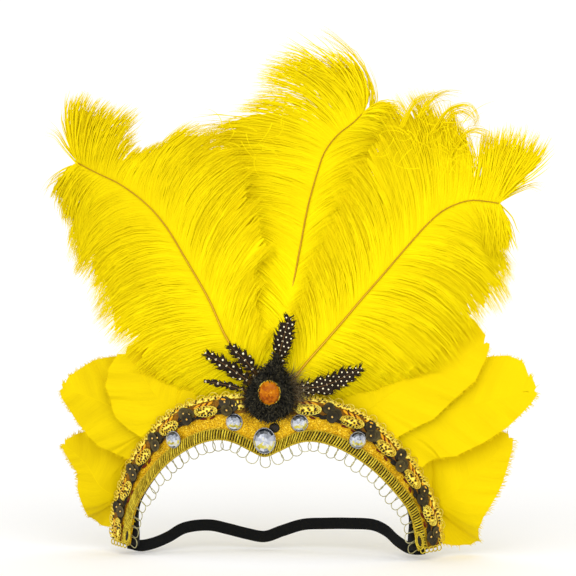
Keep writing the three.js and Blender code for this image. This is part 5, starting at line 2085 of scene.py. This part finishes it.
@dataclass(frozen=True)
class Strap:
    """The elastic: a flat ribbon on edge with ribs along it, its tails against the lining."""

    tails: Span = (124.0, 118.0)
    tail_height: float = -94.0
    out: float = -0.9
    width: float = 8.4
    thickness: float = 1.2
    ribs: int = 7
    free: Points = (
        (-99, 43.6, -95), (-91, 49, -94), (-81, 60, -90.5), (-70, 67, -84.5), (-52.5, 74, -83),
        (-39, 77, -86), (-25.5, 79, -89.5), (-12.5, 80, -91.5), (0.5, 80, -87), (16, 79, -82),
        (33, 76, -80.5), (51, 71, -79.5), (70, 64.5, -79.5), (80, 59, -83), (89, 50.5, -89),
        (98.5, 43.6, -93),
    )

    def build(self) -> None:
        """Makes the strap: a ribbed outline carried along its route."""
        height = self.tail_height
        left = BROW.bend(np.array([(-along, height) for along in self.tails]), self.out)
        right = BROW.bend(np.array([(along, height) for along in self.tails[::-1]]), self.out)
        curve = Curve((*map(tuple, left.tolist()), *self.free, *map(tuple, right.tolist())))
        share = np.linspace(0, 1, 170)
        points = curve.at(curve.shares(share)[0])
        way = unit(np.gradient(points, axis=0))
        through = unit(np.cross(way, UP))
        across = np.cross(through, way)
        v = np.linspace(-1, 1, 4 * self.ribs + 1)
        ridge = 0.5 * self.thickness * (0.8 + 0.2 * np.abs(np.sin(np.pi * self.ribs * (v + 1) / 2)))
        rows = np.concatenate([v, v[::-1]]) * self.width / 2
        skin = np.concatenate([ridge, -ridge])
        rings = points[:, None] + across[:, None] * rows[:, None] + through[:, None] * skin[:, None]
        uv = np.stack([rows + 0 * share[:, None], curve.length() * share[:, None] + 0 * rows], -1)
        add_piece("strap_elastic", loft(rings[None], uv[None]), WOVEN_ELASTIC, Slot.ELASTIC, ["strap"])


@dataclass(frozen=True)
class Studio:
    """The floor, the soft lights and the camera at the picture's angle."""

    azimuth: float = 8.0
    elevation: float = 5.0
    across: float = 15.84
    up: float = 98.3
    depth: float = -10.0
    view: float = 414.7
    distance: float = 4000.0
    floor: float = -101.0
    reach: float = 60.0
    sensor: float = 36.0
    far: float = 100.0
    sky: float = 0.9
    softness: float = 50.0
    lamp: Colour = (255, 254, 252)
    pale: Colour = (248, 248, 248)

    def axes(self) -> tuple[Array, Array, Array]:
        """Directions to the right, up and towards the camera."""
        a, e = np.radians([self.azimuth, self.elevation])
        right = np.array([np.cos(a), np.sin(a), 0])
        up = np.array([-np.sin(e) * np.sin(a), np.sin(e) * np.cos(a), np.cos(e)])
        return right, up, np.cross(right, up)

    def camera(self) -> None:
        """A long lens that sees the picture's square."""
        right, up, back = self.axes()
        target = self.across * right + self.up * up + self.depth * back
        data = bpy.data.cameras.new("picture camera")
        data.sensor_width = self.sensor
        data.lens = self.sensor * self.distance / self.view
        data.clip_end = self.far
        camera = bpy.data.objects.new("picture camera", data)
        eye = (target + self.distance * back) * MM
        pose = np.vstack([np.stack([right, up, back, eye], 1), [0, 0, 0, 1]])
        camera.matrix_world = Matrix(pose.tolist())
        bpy.context.scene.collection.objects.link(camera)
        bpy.context.scene.camera = camera

    def light(self, name: str, azimuth: float, elevation: float, power: float) -> None:
        """A broad soft light from far away.

        Args:
            name: Its name.
            azimuth: Degrees that it stands to the right of the front.
            elevation: Degrees that it stands over the floor.
            power: Its strength.
        """
        data = bpy.data.lights.new(name, "SUN")
        data.energy = power
        data.angle = np.radians(self.softness)
        data.color = linear(self.lamp)[:3]
        lamp = bpy.data.objects.new(name, data)
        lamp.rotation_euler = np.radians([90 - elevation, 0, azimuth])
        bpy.context.scene.collection.objects.link(lamp)

    def floor_piece(self) -> None:
        """A pale floor so wide that it fills the picture behind the object."""
        graph = Graph("pale floor", roughness=0.9, specular_ior_level=0.0)
        graph.shader.inputs["Base Color"].default_value = linear(self.pale)
        signs = ((-1, -1), (1, -1), (1, 1), (-1, 1))
        corners = [(x * self.reach, y * self.reach, self.floor * MM) for x, y in signs]
        mesh = bpy.data.meshes.new("floor")
        mesh.from_pydata(corners, [], [(0, 1, 2, 3)])
        mesh.materials.append(graph.material)
        floor = bpy.data.objects.new("floor", mesh)
        bpy.context.scene.collection.objects.link(floor)

    def build(self) -> None:
        """Sets the stage."""
        scene = bpy.context.scene
        scene.view_settings.view_transform = "Standard"
        world = bpy.data.worlds.new("studio")
        world.use_nodes = True
        ground = world.node_tree.nodes["Background"]
        ground.inputs["Color"].default_value = (1.0, 1.0, 1.0, 1.0)
        ground.inputs["Strength"].default_value = self.sky
        scene.world = world
        self.floor_piece()
        self.light("key", azimuth=22, elevation=32, power=1.0)
        self.light("fill", azimuth=-26, elevation=18, power=0.75)
        self.camera()


def main() -> None:
    """Builds every sub-assembly in order, then sets the studio."""
    logging.basicConfig(level=logging.INFO, format="%(name)s: %(message)s")
    trims = (Band(), LowerBraid(), *TRIMS, *STONES, AMBER, Rosette())
    for assembly in (*trims, *GUINEAS, *PLUMES, *SIDE_FEATHERS, Strap()):
        assembly.build()
    Studio().build()


if __name__ == "__main__":
    main()
